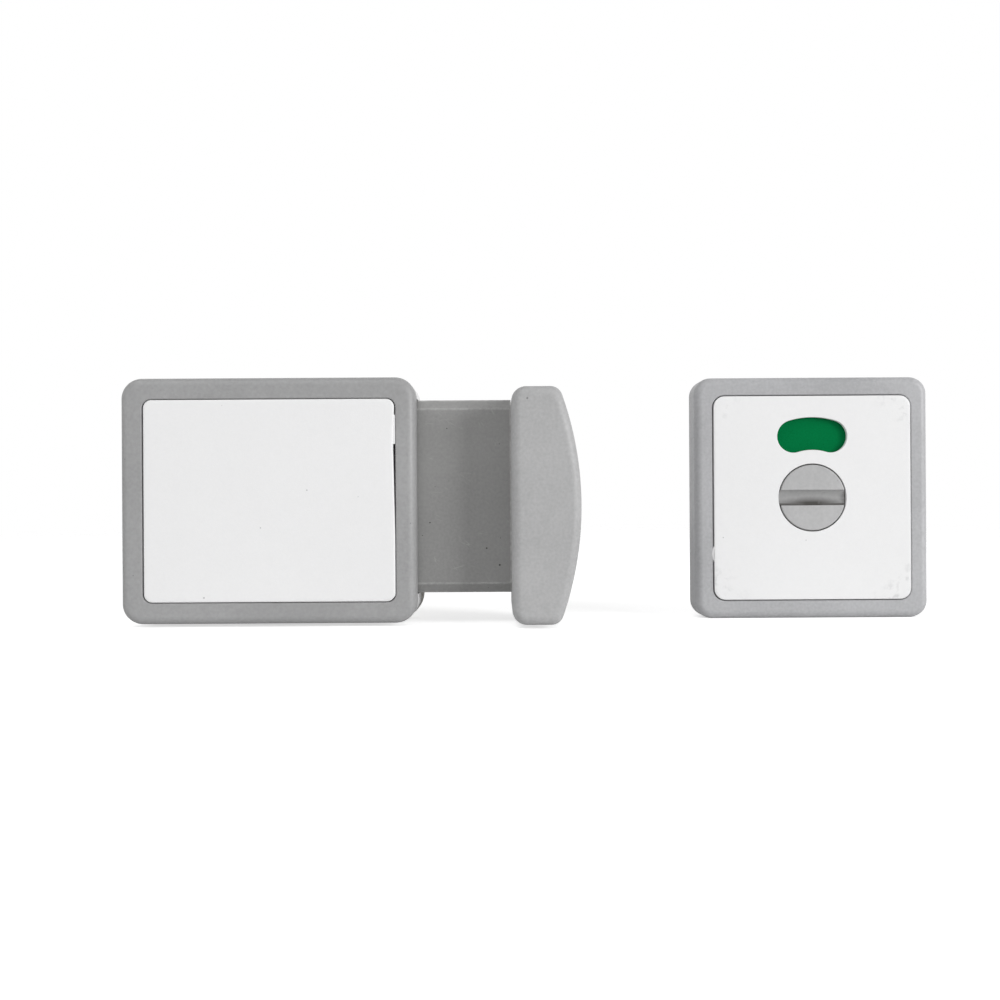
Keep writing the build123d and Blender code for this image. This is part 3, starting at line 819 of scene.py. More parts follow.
@dataclass(frozen=True)
class Moulded(Finish):
    """Moulded plastic: mould grain, tone drift, smudges, lighter edges that are rubbed wear and a painted
    highlight, specks and hair scratches.
    """

    roughness: float = 0.38
    gloss_change: Span = (0.05, -0.05)
    drift: float = 0.07
    tone_scale: float = 38.0
    smudge: float = 0.2
    smudge_tone: float = 0.72
    grain_scale: float = 5200.0
    grain_depth: float = 0.00001
    edge_radius: float = 0.0005
    edge_gain: float = 4.0
    edge_lift: float = 1.14
    speck_share: float = 0.05
    speck_tone: float = 0.55
    edge_specks: float = 0.1
    scratch_share: float = 0.33
    scratch_show: float = 0.6
    scratch_lift: float = 1.12
    scratch_gloss: float = -0.08
    scratch_depth: float = -0.8
    specular: float = 0.3

    def wire(self, wires: Wiring, shader: bpy.types.Node) -> None:
        """Joins all the plastic's effects to the shader.

        Args:
            wires: The material's wiring.
            shader: The material's shader.
        """
        tone = self.tone(wires)
        scratch = effect(wires, Effect.SCRATCHES, share=self.scratch_share)
        grain = effect(wires, Effect.GRAIN, scale=self.grain_scale)
        height = wires.weighted(scratch, self.scratch_depth, grain)
        inputs = {
            "Base Color": self.colouring(wires, tone, scratch),
            "Roughness": wires.weighted(scratch, self.scratch_gloss, self.gloss(wires, tone)),
            "Normal": wires.bump(height, self.grain_depth),
            "Specular IOR Level": self.specular,
        }
        wires.feed(shader, inputs)

    def colouring(self, wires: Wiring, tone: Socket, scratch: Socket) -> Socket:
        """Mixes the plastic's colour from its effects.

        Args:
            wires: The material's wiring.
            tone: The slow tone drift.
            scratch: The mask of scratches.

        Returns:
            The colour.
        """
        # The edge mask lightens rounded edges and ridges: partly rubbed wear, partly a painted highlight
        # where they would catch the light.
        edges = effect_node(wires, Effect.WEAR, radius=self.edge_radius, gain=self.edge_gain)
        share = wires.weighted(edges.outputs["Near"], self.edge_specks, self.speck_share)
        return self.layered(
            wires,
            self.drifting(wires, tone),
            (wires.times(effect(wires, Effect.SMUDGES), self.smudge), self.smudge_tone),
            (edges.outputs["Mask"], self.edge_lift),
            (wires.times(scratch, self.scratch_show), self.scratch_lift),
            (effect(wires, Effect.SPECKS, share=share), self.speck_tone),
        )


@dataclass(frozen=True)
class Grooved(Moulded):
    """The coin turn's plastic: lighter upright streaks as a painted sheen, and painted shade with grime on
    the groove's lower side, most in its middle.
    """

    smudge: float = 0.12
    streak_range: Span = (0.4, 0.7)
    streak_show: Span = (0.0, 0.05)
    streak_tone: float = 1.6
    groove_x: float = 0.1359
    groove_z: float = -0.0018
    groove_reach: Span = (0.0006, 0.0028)
    groove_half: Span = (0.0015, 0.0078)
    middle_shade_and_grime: Span = (1.0, 0.5)
    corner_reach: Span = (0.0003, 0.0006)
    corner_shade_and_grime: Span = (0.85, 0.0)
    patch_scale: float = 300.0
    patch_range: Span = (0.0, 0.6)
    patch_shade_and_grime: Span = (0.95, 0.7)
    least_shade_and_grime: float = 0.26
    lip_y: Span = (-0.00849, -0.00837)
    shade_and_grime_colour: Colour = (0.042, 0.039, 0.034)

    def drifting(self, wires: Wiring, tone: Socket) -> Socket:
        """The drifting colour with lighter streaks on it, a painted sheen."""
        streaks = wires.remap(effect(wires, Effect.STREAKS), self.streak_range, self.streak_show)
        return self.layered(wires, super().drifting(wires, tone), (streaks, self.streak_tone))

    def colouring(self, wires: Wiring, tone: Socket, scratch: Socket) -> Socket:
        """Lays painted shade and grime in the groove over the plastic's colour.

        Args:
            wires: The material's wiring.
            tone: The slow tone drift.
            scratch: The mask of scratches.

        Returns:
            The colour.
        """
        base = super().colouring(wires, tone, scratch)
        # Painted shade with grime patches: darkest along the groove's lower side and in its middle, a dark
        # line at its lower lip, and a little all over inside it.
        middle = wires.remap(wires.away(Axis.X, self.groove_x), self.groove_half, self.middle_shade_and_grime)
        below = wires.away(Axis.Z, self.groove_z)
        low = wires.remap(below, self.groove_reach, (1.0, 0.0))
        corner = wires.remap(below, self.corner_reach, self.corner_shade_and_grime)
        patches = effect(wires, Effect.SMUDGES, scale=self.patch_scale)
        patchy = wires.remap(patches, self.patch_range, self.patch_shade_and_grime)
        thick = wires.times(wires.times(low, middle), patchy)
        everywhere = wires.math("MAXIMUM", wires.math("MAXIMUM", thick, corner), self.least_shade_and_grime)
        inside = wires.remap(wires.along(Axis.Y), self.lip_y)
        return wires.blend(wires.times(everywhere, inside), base, shaded(self.shade_and_grime_colour))


@dataclass(frozen=True)
class White(Moulded):
    """White plastic: even in tone, with few and faint marks."""

    colour: Colour = (0.815, 0.815, 0.818)
    roughness: float = 0.35
    drift: float = 0.012
    smudge: float = 0.04
    edge_lift: float = 1.03
    speck_share: float = 0.012
    speck_tone: float = 0.62
    scratch_share: float = 0.25
    scratch_lift: float = 0.95


@dataclass(frozen=True)
class Fingered(White):
    """The front plate's white plastic, with greyish marks gathered at its corners."""

    speck_share: float = 0.02
    centre_x: float = 0.1359
    corner_reach: Span = (0.039, 0.045)
    mark: Colour = (0.56, 0.56, 0.565)
    mark_scale: float = 650.0
    mark_show: float = 0.8

    def colouring(self, wires: Wiring, tone: Socket, scratch: Socket) -> Socket:
        """Lays the marks over the plastic's colour.

        Args:
            wires: The material's wiring.
            tone: The slow tone drift.
            scratch: The mask of scratches.

        Returns:
            The colour.
        """
        base = super().colouring(wires, tone, scratch)
        out = wires.math("ADD", wires.away(Axis.X, self.centre_x), wires.away(Axis.Z, 0.0))
        corner = wires.remap(out, self.corner_reach)
        marks = wires.times(effect(wires, Effect.SMUDGES, scale=self.mark_scale), corner)
        return wires.blend(wires.times(marks, self.mark_show), base, shaded(self.mark))


@dataclass(frozen=True)
class Plated(Finish):
    """Bright metal with drawn lines, a slight tone drift and worn edges."""

    roughness: float = 0.32
    gloss_change: Span = (-0.07, 0.1)
    drift: float = 0.08
    tone_scale: float = 90.0
    line_scale: float = 2600.0
    line_range: Span = (0.3, 0.7)
    line_depth: float = 0.000006
    edge_gain: float = 4.0
    edge_lift: float = 1.25

    def wire(self, wires: Wiring, shader: bpy.types.Node) -> None:
        """Joins lines, tone and wear to the shader.

        Args:
            wires: The material's wiring.
            shader: The material's shader.
        """
        lines = effect(wires, Effect.BRUSHING, scale=self.line_scale)
        worn = effect(wires, Effect.WEAR, gain=self.edge_gain)
        inputs = {
            "Base Color": self.layered(wires, self.drifting(wires, self.tone(wires)), (worn, self.edge_lift)),
            "Roughness": self.gloss(wires, lines, self.line_range),
            "Normal": wires.bump(lines, self.line_depth),
            "Metallic": 1.0,
        }
        wires.feed(shader, inputs)


@dataclass(frozen=True)
class Painted(Finish):
    """Paint on pressed steel: an orange-peel skin, chipped at the edges down to the steel."""

    chip: Colour = (0.5, 0.49, 0.46)
    edge_gain: float = 4.0
    chip_scale: float = 1400.0
    chip_limit: float = 0.6
    speck_share: float = 0.08
    speck_tone: float = 0.5
    skin_scale: float = 900.0
    skin_depth: float = 0.00003
    skin_strength: float = 0.6

    def wire(self, wires: Wiring, shader: bpy.types.Node) -> None:
        """Joins the paint's tone, its chips and its skin to the shader.

        Args:
            wires: The material's wiring.
            shader: The material's shader.
        """
        tone = self.tone(wires)
        wear = effect(wires, Effect.WEAR, gain=self.edge_gain, scale=self.chip_scale)
        worn = wires.math("GREATER_THAN", wear, self.chip_limit)
        chipped = wires.blend(worn, self.drifting(wires, tone), shaded(self.chip))
        specks = effect(wires, Effect.SPECKS, share=self.speck_share)
        skin = effect(wires, Effect.GRAIN, scale=self.skin_scale)
        inputs = {
            "Base Color": self.layered(wires, chipped, (specks, self.speck_tone)),
            "Roughness": self.gloss(wires, tone),
            "Normal": wires.bump(skin, self.skin_depth, self.skin_strength),
        }
        wires.feed(shader, inputs)


@dataclass(frozen=True)
class Film(Finish):
    """Glossy coloured film: a shade that drifts a little, faint roller lines and specks."""

    roughness: float = 0.3
    gloss_change: Span = (-0.06, 0.08)
    drift: float = 0.12
    tone_scale: float = 70.0
    line_scale: float = 1800.0
    line_show: float = 0.25
    line_tone: float = 1.25
    line_depth: float = 0.000004
    speck_share: float = 0.03
    speck_tone: float = 0.6
    specular: float = 0.03

    def wire(self, wires: Wiring, shader: bpy.types.Node) -> None:
        """Joins tone, roller lines and specks to the shader.

        Args:
            wires: The material's wiring.
            shader: The material's shader.
        """
        tone = self.tone(wires)
        lines = effect(wires, Effect.BRUSHING, scale=self.line_scale)
        specks = effect(wires, Effect.SPECKS, share=self.speck_share)
        layers = ((wires.times(lines, self.line_show), self.line_tone), (specks, self.speck_tone))
        inputs = {
            "Base Color": self.layered(wires, self.drifting(wires, tone), *layers),
            "Roughness": self.gloss(wires, tone),
            "Normal": wires.bump(lines, self.line_depth),
            "Specular IOR Level": self.specular,
        }
        wires.feed(shader, inputs)


@dataclass(frozen=True)
class Finishes:
    """All the finishes of the latch."""

    bezel: Moulded = Moulded("bezel_moulding", (0.33, 0.33, 0.332), drift=0.09, roughness=0.42)
    bar: Moulded = Moulded("bar_moulding", (0.405, 0.405, 0.407), drift=0.1, roughness=0.48, edge_lift=1.1)
    body: Moulded = Moulded("body_moulding", (0.422, 0.424, 0.434), drift=0.11, roughness=0.42)
    turn: Grooved = Grooved("turn_moulding", (0.447, 0.447, 0.449))
    white: White = White("white_moulding")
    plate: Fingered = Fingered("plate_moulding")
    # On the bolt the strong edge gain and lift paint a bright highlight along its ridges.
    dark: Moulded = Moulded(
        "bolt_moulding",
        (0.295, 0.294, 0.29),
        roughness=0.4,
        drift=0.09,
        smudge=0.16,
        edge_radius=0.0006,
        edge_gain=160.0,
        edge_lift=1.7,
        speck_share=0.1,
        speck_tone=0.15,
        scratch_share=0.41,
        scratch_lift=1.4,
    )
    acetal: Moulded = Moulded(
        "acetal",
        (0.72, 0.71, 0.67),
        roughness=0.3,
        drift=0.03,
        edge_lift=1.05,
        speck_share=0.02,
        speck_tone=0.8,
        scratch_share=0.3,
        scratch_lift=1.05,
    )
    tray: Painted = Painted("tray_paint", (0.52, 0.505, 0.475))
    zinc: Plated = Plated("zinc_plate", (0.6, 0.6, 0.57))
    spring: Plated = Plated("bright_strip", (0.5, 0.5, 0.5), roughness=0.25)
    brass: Plated = Plated("turned_brass", (0.72, 0.53, 0.24), roughness=0.28, line_scale=4000.0)
    green: Film = Film("vacant_green", (0.0, 0.149, 0.043))
    red: Film = Film("engaged_red", (0.5, 0.02, 0.02))


FINISHES = Finishes()


def dress(node: str, surface: Finish) -> None:
    """Gives a CAD node that stays a finish of its own.

    Args:
        node: The node's name.
        surface: Its finish.
    """
    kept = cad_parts[node]
    for slot in kept.material_slots:
        slot.material = surface.material()
    log.info("%s: kept, %s", node, surface.name)


@dataclass(frozen=True)
class Snap:
    """A snap of the cover, or the notch for one: its length, how far it stands out, and its heights."""

    long: float
    out: float
    heights: Span


@dataclass
class IndoorUnit:
    """The indoor unit: a grey bezel with a white cover over the bolt, in millimetres."""

    size: Spot = (71.8, 60.0)
    corner: Rounding = Rounding(5.0, 12)
    edge: Rounding = Rounding(2.0, 8)
    top: float = 20.0
    bottom: float = 14.5
    web_top: float = 16.5
    opening_x: float = 0.3
    opening_size: Spot = (61.5, 49.5)
    opening_corner: Rounding = Rounding(2.15, 6)
    lip: Rounding = Rounding(0.35, 3)
    cover_x: float = 0.35
    cover_size: Spot = (60.9, 49.2)
    cover_corner: Rounding = Rounding(2.0, 8)
    cover_edge: Rounding = Rounding(0.4, 4)
    cover_top: float = 20.3
    cover_bottom: float = 18.8
    crown_inset: float = 0.8
    crown: float = 0.05
    skirt: float = 1.2
    skirt_bottom: float = 16.7
    snap_x: float = 17.0
    snap: Snap = Snap(7.0, 0.35, (17.5, 18.1))
    snap_notch: Snap = Snap(8.0, 0.65, (17.4, 18.2))
    fixing_z: float = 17.0
    fixing_radius: float = 2.2
    pilot: Spot = (28.0, 27.2)
    pilot_radius: float = 1.5
    pilot_top: float = 18.2
    groove_size: Spot = (35.2, 8.2)
    groove_top: float = 15.5
    dent_z: float = 13.4
    dent: float = -0.3
    swell_z: Span = (-23.5, -9.0)
    swell: float = 0.12
    flash_x: Span = (-0.5, 0.22)
    flash_z: Span = (13.6, 21.3)
    flash_heights: Span = (19.2, 20.0)
    flash_slant: float = -0.7
    flash_edge: Rounding = Rounding(0.06, 2)

    def snap_blocks(self, snap: Snap) -> list[Workpiece]:
        """Makes four blocks at the cover's upper and lower edges: the snaps, or the notches for them."""
        spots = around((self.cover_x, 0), (self.snap_x, self.cover_size[1] / 2))
        return [Workpiece.slab("snap", spot, (snap.long, 2 * snap.out), snap.heights) for spot in spots]

    def back_tools(self) -> list[Workpiece]:
        """Makes the tools for the holes and the spring's groove in the bezel's back.

        Returns:
            The tools on the bench.
        """
        back = self.bottom - SPILL
        through = (back, self.web_top + SPILL)
        fixings = [
            Workpiece.drum("fixing", (0, z), self.fixing_radius, through, Sides.SCREW)
            for z in (-self.fixing_z, self.fixing_z)
        ]
        pilots = [
            Workpiece.drum("pilot", spot, self.pilot_radius, (back, self.pilot_top), Sides.PILOT)
            for spot in around((0, 0), self.pilot)
        ]
        groove = Workpiece.slab("groove", (0, 0), self.groove_size, (back, self.groove_top))
        return [*fixings, *pilots, groove]

    def bezel(self) -> None:
        """The grey bezel: rounded at its corners and its front edge, open for the cover."""
        piece = Workpiece.slab("bezel", (0, 0), self.size, (self.bottom, self.top))
        piece.soften(along_depth, self.corner)
        piece.soften(rim_at(self.top), self.edge)
        depth = (self.web_top, self.top + SPILL)
        opening = Workpiece.slab("opening", (self.opening_x, 0), self.opening_size, depth)
        piece.cut(opening.soften(along_depth, self.opening_corner))
        piece.soften(rim_at(self.top), self.lip)
        piece.cut(*self.snap_blocks(self.snap_notch))
        piece.cut(*self.back_tools())
        piece.finish(Body.HOUSING, FINISHES.bezel, Slot.GREY_PLASTIC, "casing")

    def cover(self) -> None:
        """The white cover: a slightly crowned plate with softened edges, a skirt behind it and four snaps."""
        depth = (self.cover_bottom, self.cover_top)
        piece = Workpiece.slab("cover_plate", (self.cover_x, 0), self.cover_size, depth)
        piece.soften(along_depth, self.cover_corner)
        piece.soften(rim_at(self.cover_top), self.cover_edge)
        # The inset at the back leaves one large face, and round it the smaller ones of the skirt.
        large = self.cover_size[0] * self.cover_size[1] / 4
        with piece.editing():
            piece.pick(Kind.FACE, faces_front)
            bpy.ops.mesh.inset(thickness=self.crown_inset)
            bpy.ops.transform.translate(value=(0, -self.crown, 0))
            piece.pick(Kind.FACE, faces_door)
            bpy.ops.mesh.inset(thickness=self.skirt)
            piece.pick(Kind.FACE, lambda face: faces_door(face) and face.calc_area() < large)
            pull = (0, self.cover_bottom - self.skirt_bottom, 0)
            bpy.ops.mesh.extrude_region_move(TRANSFORM_OT_translate={"value": pull})
        piece.weld(*self.snap_blocks(self.snap))
        self.age_right_edge(piece)
        piece.finish(Body.HOUSING, FINISHES.white, Slot.WHITE_PLASTIC, "cover")

    def age_right_edge(self, piece: Workpiece) -> None:
        """Gives the cover's right-hand edge its used look: a slanted gap, and a strip of flash near the top.

        Args:
            piece: The cover.
        """
        right = self.cover_x + self.cover_size[0] / 2
        near = right - self.cover_edge.radius - TOUCH
        swell_low, swell_high = self.swell_z
        piece.slice_at(self.dent_z)
        piece.slice_at(swell_high)
        piece.shift(lambda at: at.x > near and abs(at.z - self.dent_z) < TOUCH, (self.dent, 0, 0))
        piece.shift(lambda at: at.x > near and swell_low < at.z < swell_high + TOUCH, (self.swell, 0, 0))
        flash_back, flash_front = self.flash_heights
        flash_low, flash_high = self.flash_z
        low = (right + self.flash_x[0], -flash_front, flash_low)
        high = (right + self.flash_x[1], -flash_back, flash_high)
        flash = Workpiece.block("flash", low, high)
        flash.shift(lambda at: at.x > right and at.z > flash_high - TOUCH, (0, 0, self.flash_slant))
        piece.weld(flash.soften(is_bent, self.flash_edge))

    def build(self) -> None:
        """Builds the unit's new pieces and dresses the ones that stay."""
        self.bezel()
        self.cover()
        dress("back_plate", FINISHES.tray)
        dress("slide_channel", FINISHES.white)
        dress("casing_screws", FINISHES.zinc)
        dress("friction_spring", FINISHES.spring)


@dataclass
class SlideBolt:
    """The bolt with its pull bar, in millimetres."""

    bar_x: Span = (59.2, 75.8)
    bar_z: Span = (-29.9, 26.9)
    bar_heights: Span = (2.0, 27.0)
    wall: float = 2.2
    bow: float = 80.0
    bow_steps: int = 26
    left_corner: Rounding = Rounding(3.5, 10)
    right_corner: Rounding = Rounding(3.0, 8)
    least_corner: float = 0.4
    front_edge: Rounding = Rounding(2.3, 8)
    back_edge: Rounding = Rounding(0.25, 2)
    tongue_z: float = 0.85
    tongue_half: float = 19.1
    tongue_top: float = 11.6
    notch_play: float = 0.1
    boss_x: float = 66.0
    boss_z: float = 12.0
    boss_radius: float = 3.5
    boss_back: float = 11.5
    pilot_radius: float = 1.55
    pilot_front: float = 21.0

    def bowed_block(self, name: str, inset: float, heights: Span) -> Workpiece:
        """A bar with a bowed right-hand side and rounded corners.

        Args:
            name: Its name.
            inset: How far its outline lies inside the pull bar's.
            heights: The heights of its back and its front.

        Returns:
            The bar on the bench.
        """
        low, high = self.bar_z[0] + inset, self.bar_z[1] - inset
        left = self.bar_x[0] + inset
        left_radius = self.left_corner.radius - inset
        right_radius = max(self.right_corner.radius - inset, self.least_corner)
        bow = self.bow - inset
        bow_x = self.bar_x[1] - self.bow
        middle = (low + high) / 2
        rise = high - right_radius - middle
        corner_x = bow_x + math.sqrt((bow - right_radius) ** 2 - rise**2)
        lean = math.asin(rise / (bow - right_radius))
        left_steps, right_steps = self.left_corner.steps, self.right_corner.steps
        path = [
            Run((left, high - left_radius)),
            Arc((left + left_radius, high - left_radius), -QUARTER_TURN, left_steps),
            Run((corner_x, high)),
            Arc((corner_x, high - right_radius), lean - QUARTER_TURN, right_steps),
            Arc((bow_x, middle), -2 * lean, self.bow_steps),
            Arc((corner_x, low + right_radius), lean - QUARTER_TURN, right_steps),
            Run((left + left_radius, low)),
            Arc((left + left_radius, low + left_radius), -QUARTER_TURN, left_steps),
        ]
        return Workpiece.drawn(name, (left, low + left_radius), path, heights)

    def notch(self) -> Workpiece:
        """Makes the tool that cuts the opening for the bolt's tongue.

        Returns:
            The tool on the bench.
        """
        left = self.bar_x[0]
        inside = left + self.wall + self.notch_play
        low = (left - SPILL, -self.tongue_top, self.tongue_z - self.tongue_half)
        high = (inside, SPILL - self.bar_heights[0], self.tongue_z + self.tongue_half)
        return Workpiece.block("notch", low, high)

    def pull_bar(self) -> None:
        """The hollow pull bar with its two screw bosses, open behind and notched for the bolt's tongue."""
        back, front = self.bar_heights
        piece = self.bowed_block("pull_bar", 0.0, self.bar_heights)
        piece.soften(rim_at(front), self.front_edge)
        piece.soften(rim_at(back), self.back_edge)
        piece.cut(self.bowed_block("hollow", self.wall, (back - SPILL, front - self.wall)))
        boss = (self.boss_back, front - self.wall + OVERLAP)
        pilot = (self.boss_back - SPILL, self.pilot_front)
        for z in (self.tongue_z - self.boss_z, self.tongue_z + self.boss_z):
            piece.weld(Workpiece.drum("boss", (self.boss_x, z), self.boss_radius, boss, Sides.SCREW))
            piece.cut(Workpiece.drum("pilot", (self.boss_x, z), self.pilot_radius, pilot, Sides.PILOT))
        piece.cut(self.notch())
        piece.finish(Body.SLIDE, FINISHES.bar, Slot.GREY_PLASTIC, "grip")

    def build(self) -> None:
        """Builds the pull bar and dresses the bolt, its screws and the pinion."""
        self.pull_bar()
        dress("bolt", FINISHES.dark)
        dress("grip_screws", FINISHES.zinc)
        dress("pinion", FINISHES.acetal)


@dataclass
class OutdoorUnit:
    """The outdoor unit: a grey body with a white front plate and the coin turn, in millimetres."""

    axis: Spot = (135.9, 0.0)
    size: Spot = (59.4, 61.5)
    corner: Rounding = Rounding(4.3, 10)
    edge: Rounding = Rounding(2.0, 8)
    top: float = 8.0
    ledge: float = 6.3
    floor: float = 2.8
    seat_size: Spot = (50.5, 52.3)
    seat_corner: Rounding = Rounding(3.0, 8)
    lip: Rounding = Rounding(0.3, 3)
    cavity: float = 22.8
    insert_z: float = 17.0
    insert_radius: float = 3.0
    insert_top: float = 4.6
    insert_boss: float = 4.5
    journal: float = 4.55
    recess_radius: float = 8.0
    recess_top: float = 1.3
    peg: Spot = (21.5, 22.0)
    peg_hole: float = 1.6
    peg_hole_back: float = 3.3
    peg_radius: float = 1.5
    peg_back: float = 3.4
    peg_edge: Rounding = Rounding(0.3, 2)
    plate_size: Spot = (50.0, 51.8)
    plate_corner: Rounding = Rounding(2.75, 8)
    plate_top: float = 8.4
    bevel_width: float = 0.8
    bevel_drop: float = 0.06
    plate_edge: Rounding = Rounding(0.16, 3)
    hollow_top: float = 7.4
    turn_hole: float = 8.64
    window_radius: float = 16.3
    window_width: float = 8.3
    window_half: float = math.radians(16.9)
    window_steps: int = 24
    window_lip: Rounding = Rounding(0.15, 3)
    burr_z: float = -14.2
    burr_half: float = 2.1
    burr_out: float = 0.6
    burr_heights: Span = (7.5, 8.1)
    burr_steps: int = 16
    burr_edge: Rounding = Rounding(0.2, 3)
    turn_radius: float = 8.38
    turn_top: float = 8.5
    turn_back: float = 5.7
    turn_edge: Rounding = Rounding(0.32, 4)
    slot_width: float = 4.05
    slot_depth: float = 1.1
    slot_lip: Rounding = Rounding(0.09, 2)
    neck_radius: float = 5.0
    neck_flat: float = 4.0
    neck_back: float = 2.9
    neck_overlap: float = 0.2
    flat_gap: float = 0.01
    shaft_radius: float = 4.5
    shaft_back: float = 0.1
    shaft_overlap: float = 0.1
    clip_radius: float = 3.5
    clip_heights: Span = (0.35, 1.15)
    socket_size: Spot = (5.0, 2.0)
    socket_top: float = 5.0

    def bar(
        self, name: str, radius: float, heights: Span, sides: Sides = Sides.SHAFT, z: float = 0.0
    ) -> Workpiece:
        """A round bar on the unit's upright middle line."""
        return Workpiece.drum(name, (self.axis[0], z), radius, heights, sides)

    def body(self) -> None:
        """The grey body: rounded outside, with the plate's seat, the disc's cavity and the holes."""
        piece = Workpiece.slab("outdoor_body", self.axis, self.size, (0, self.top))
        piece.soften(along_depth, self.corner)
        piece.soften(rim_at(self.top), self.edge)
        seat = Workpiece.slab("seat", self.axis, self.seat_size, (self.ledge, self.top + SPILL))
        piece.cut(seat.soften(along_depth, self.seat_corner))
        piece.soften(rim_at(self.top), self.lip)
        piece.cut(self.bar("cavity", self.cavity, (self.floor, self.ledge + SPILL), Sides.CAVITY))
        boss = (self.floor - OVERLAP, self.insert_top)
        bore = (-SPILL, self.insert_top + SPILL)
        for z in (-self.insert_z, self.insert_z):
            piece.weld(self.bar("boss", self.insert_boss, boss, Sides.SCREW, z))
            piece.cut(self.bar("bore", self.insert_radius, bore, Sides.SCREW, z))
        piece.cut(self.bar("journal", self.journal, (-SPILL, self.ledge)))
        piece.cut(self.bar("recess", self.recess_radius, (-SPILL, self.recess_top)))
        hole = (self.peg_hole_back, self.ledge + SPILL)
        for spot in around(self.axis, self.peg):
            piece.cut(Workpiece.drum("peg_hole", spot, self.peg_hole, hole, Sides.PILOT))
        piece.finish(Body.HOUSING, FINISHES.body, Slot.GREY_PLASTIC, "outdoor_frame")

    def window_tool(self) -> Workpiece:
        """Makes the kidney window's tool, with its outline spun from one point.

        Returns:
            The tool on the bench.
        """
        outer = self.window_radius + self.window_width / 2
        sine, cosine = math.sin(self.window_half), math.cos(self.window_half)
        x, z = self.axis
        left = (x - self.window_radius * sine, z + self.window_radius * cosine)
        right = (x + self.window_radius * sine, z + self.window_radius * cosine)
        turns = (
            (self.axis, 2 * self.window_half),
            (left, math.pi),
            (self.axis, -2 * self.window_half),
            (right, math.pi),
        )
        path = [Arc(centre, angle, self.window_steps) for centre, angle in turns]
        heights = (self.ledge - SPILL, self.plate_top + SPILL)
        return Workpiece.drawn("window", (x + outer * sine, z + outer * cosine), path, heights)

    def burr(self) -> Workpiece:
        """Makes the small lens of plastic that stands out of the plate's left edge, over the gap.

        Returns:
            The lens on the bench.
        """
        left = self.axis[0] - self.plate_size[0] / 2
        high = self.burr_z + self.burr_half
        radius = (self.burr_half**2 + self.burr_out**2) / (2 * self.burr_out)
        swing = 2 * math.asin(self.burr_half / radius)
        path = [
            Arc((left - self.burr_out + radius, self.burr_z), swing, self.burr_steps),
            Run((left + SPILL, self.burr_z - self.burr_half)),
            Run((left + SPILL, high)),
            Run((left, high)),
        ]
        nib = Workpiece.drawn("burr", (left, high), path, self.burr_heights)
        front = rim_at(self.burr_heights[1])
        return nib.soften(lambda edge: front(edge) and edge.verts[0].co.x < left + TOUCH, self.burr_edge)

    def front_plate(self) -> None:
        """The white front plate: bevelled outline, the window, the turn's hole, a hollow back and pegs."""
        shoulder = self.plate_top - self.bevel_drop
        behind = self.ledge - SPILL
        piece = Workpiece.slab("front_plate", self.axis, self.plate_size, (self.ledge, shoulder))
        piece.soften(along_depth, self.plate_corner)
        with piece.editing():
            piece.pick(Kind.FACE, faces_front)
            bpy.ops.mesh.inset(thickness=self.bevel_width)
            bpy.ops.transform.translate(value=(0, -self.bevel_drop, 0))
        piece.soften(rim_at(shoulder), self.plate_edge)
        piece.cut(self.bar("hollow", self.cavity, (behind, self.hollow_top), Sides.CAVITY))
        piece.cut(self.bar("hole", self.turn_hole, (behind, self.plate_top + SPILL), Sides.CAVITY))
        piece.cut(self.window_tool())
        piece.soften(rim_at(self.plate_top), self.window_lip)
        reach = (self.peg_back, self.ledge + OVERLAP)
        for spot in around(self.axis, self.peg):
            peg = Workpiece.drum("peg", spot, self.peg_radius, reach, Sides.PILOT)
            piece.weld(peg.soften(rim_at(self.peg_back), self.peg_edge))
        piece.weld(self.burr())
        piece.finish(Body.HOUSING, FINISHES.plate, Slot.WHITE_PLASTIC, "faceplate")

    def neck(self) -> Workpiece:
        """Makes the coin turn's neck, with a flat above and below.

        Returns:
            The neck on the bench.
        """
        heights = (self.neck_back - self.neck_overlap, self.turn_back + self.neck_overlap)
        neck = self.bar("neck", self.neck_radius, heights)
        # Each tool reaches from a flat to twice as far out, well past the neck.
        size = (4 * self.neck_flat, self.neck_flat)
        depth = (self.neck_back - SPILL, self.turn_back - self.flat_gap)
        for z in (-1.5 * self.neck_flat, 1.5 * self.neck_flat):
            neck.cut(Workpiece.slab("flat", (self.axis[0], z), size, depth))
        return neck

    def shaft(self) -> Workpiece:
        """Makes the coin turn's shaft, with the retaining clip's groove round it.

        Returns:
            The shaft on the bench.
        """
        shaft = self.bar("shaft", self.shaft_radius, (self.shaft_back, self.neck_back + self.shaft_overlap))
        low, high = self.clip_heights
        ring = self.bar("ring", self.shaft_radius + SPILL, self.clip_heights)
        ring.cut(self.bar("core", self.clip_radius, (low - SPILL, high + SPILL)))
        shaft.cut(ring)
        return shaft

    def coin_turn(self) -> None:
        """The coin turn: a disc with a rounded groove, its neck, its shaft and the spindle's socket."""
        piece = self.bar("coin_disc", self.turn_radius, (self.turn_back, self.turn_top), Sides.DISC)
        piece.soften(rim_at(self.turn_top), self.turn_edge)
        radius = (self.slot_width**2 / 4 + self.slot_depth**2) / (2 * self.slot_depth)
        centre = (self.axis[0], -(self.turn_top - self.slot_depth + radius), 0)
        piece.cut(Workpiece.rod("slot", centre, radius, 4 * self.turn_radius, Sides.DISC))
        piece.soften(rim_at(self.turn_top), self.slot_lip)
        piece.weld(self.neck())
        piece.weld(self.shaft())
        piece.cut(Workpiece.slab("socket", self.axis, self.socket_size, (-SPILL, self.socket_top)))
        piece.finish(Body.TURN, FINISHES.turn, Slot.GREY_PLASTIC, "coin_turn")

    def build(self) -> None:
        """Builds the unit's new pieces and dresses the ones that stay."""
        self.body()
        self.front_plate()
        self.coin_turn()
        dress("spindle", FINISHES.zinc)
        dress("indicator_disc", FINISHES.acetal)
        dress("green_panel", FINISHES.green)
        dress("red_panel", FINISHES.red)
        dress("retaining_clip", FINISHES.spring)
        dress("spring_washer", FINISHES.spring)
        dress("threaded_inserts", FINISHES.brass)


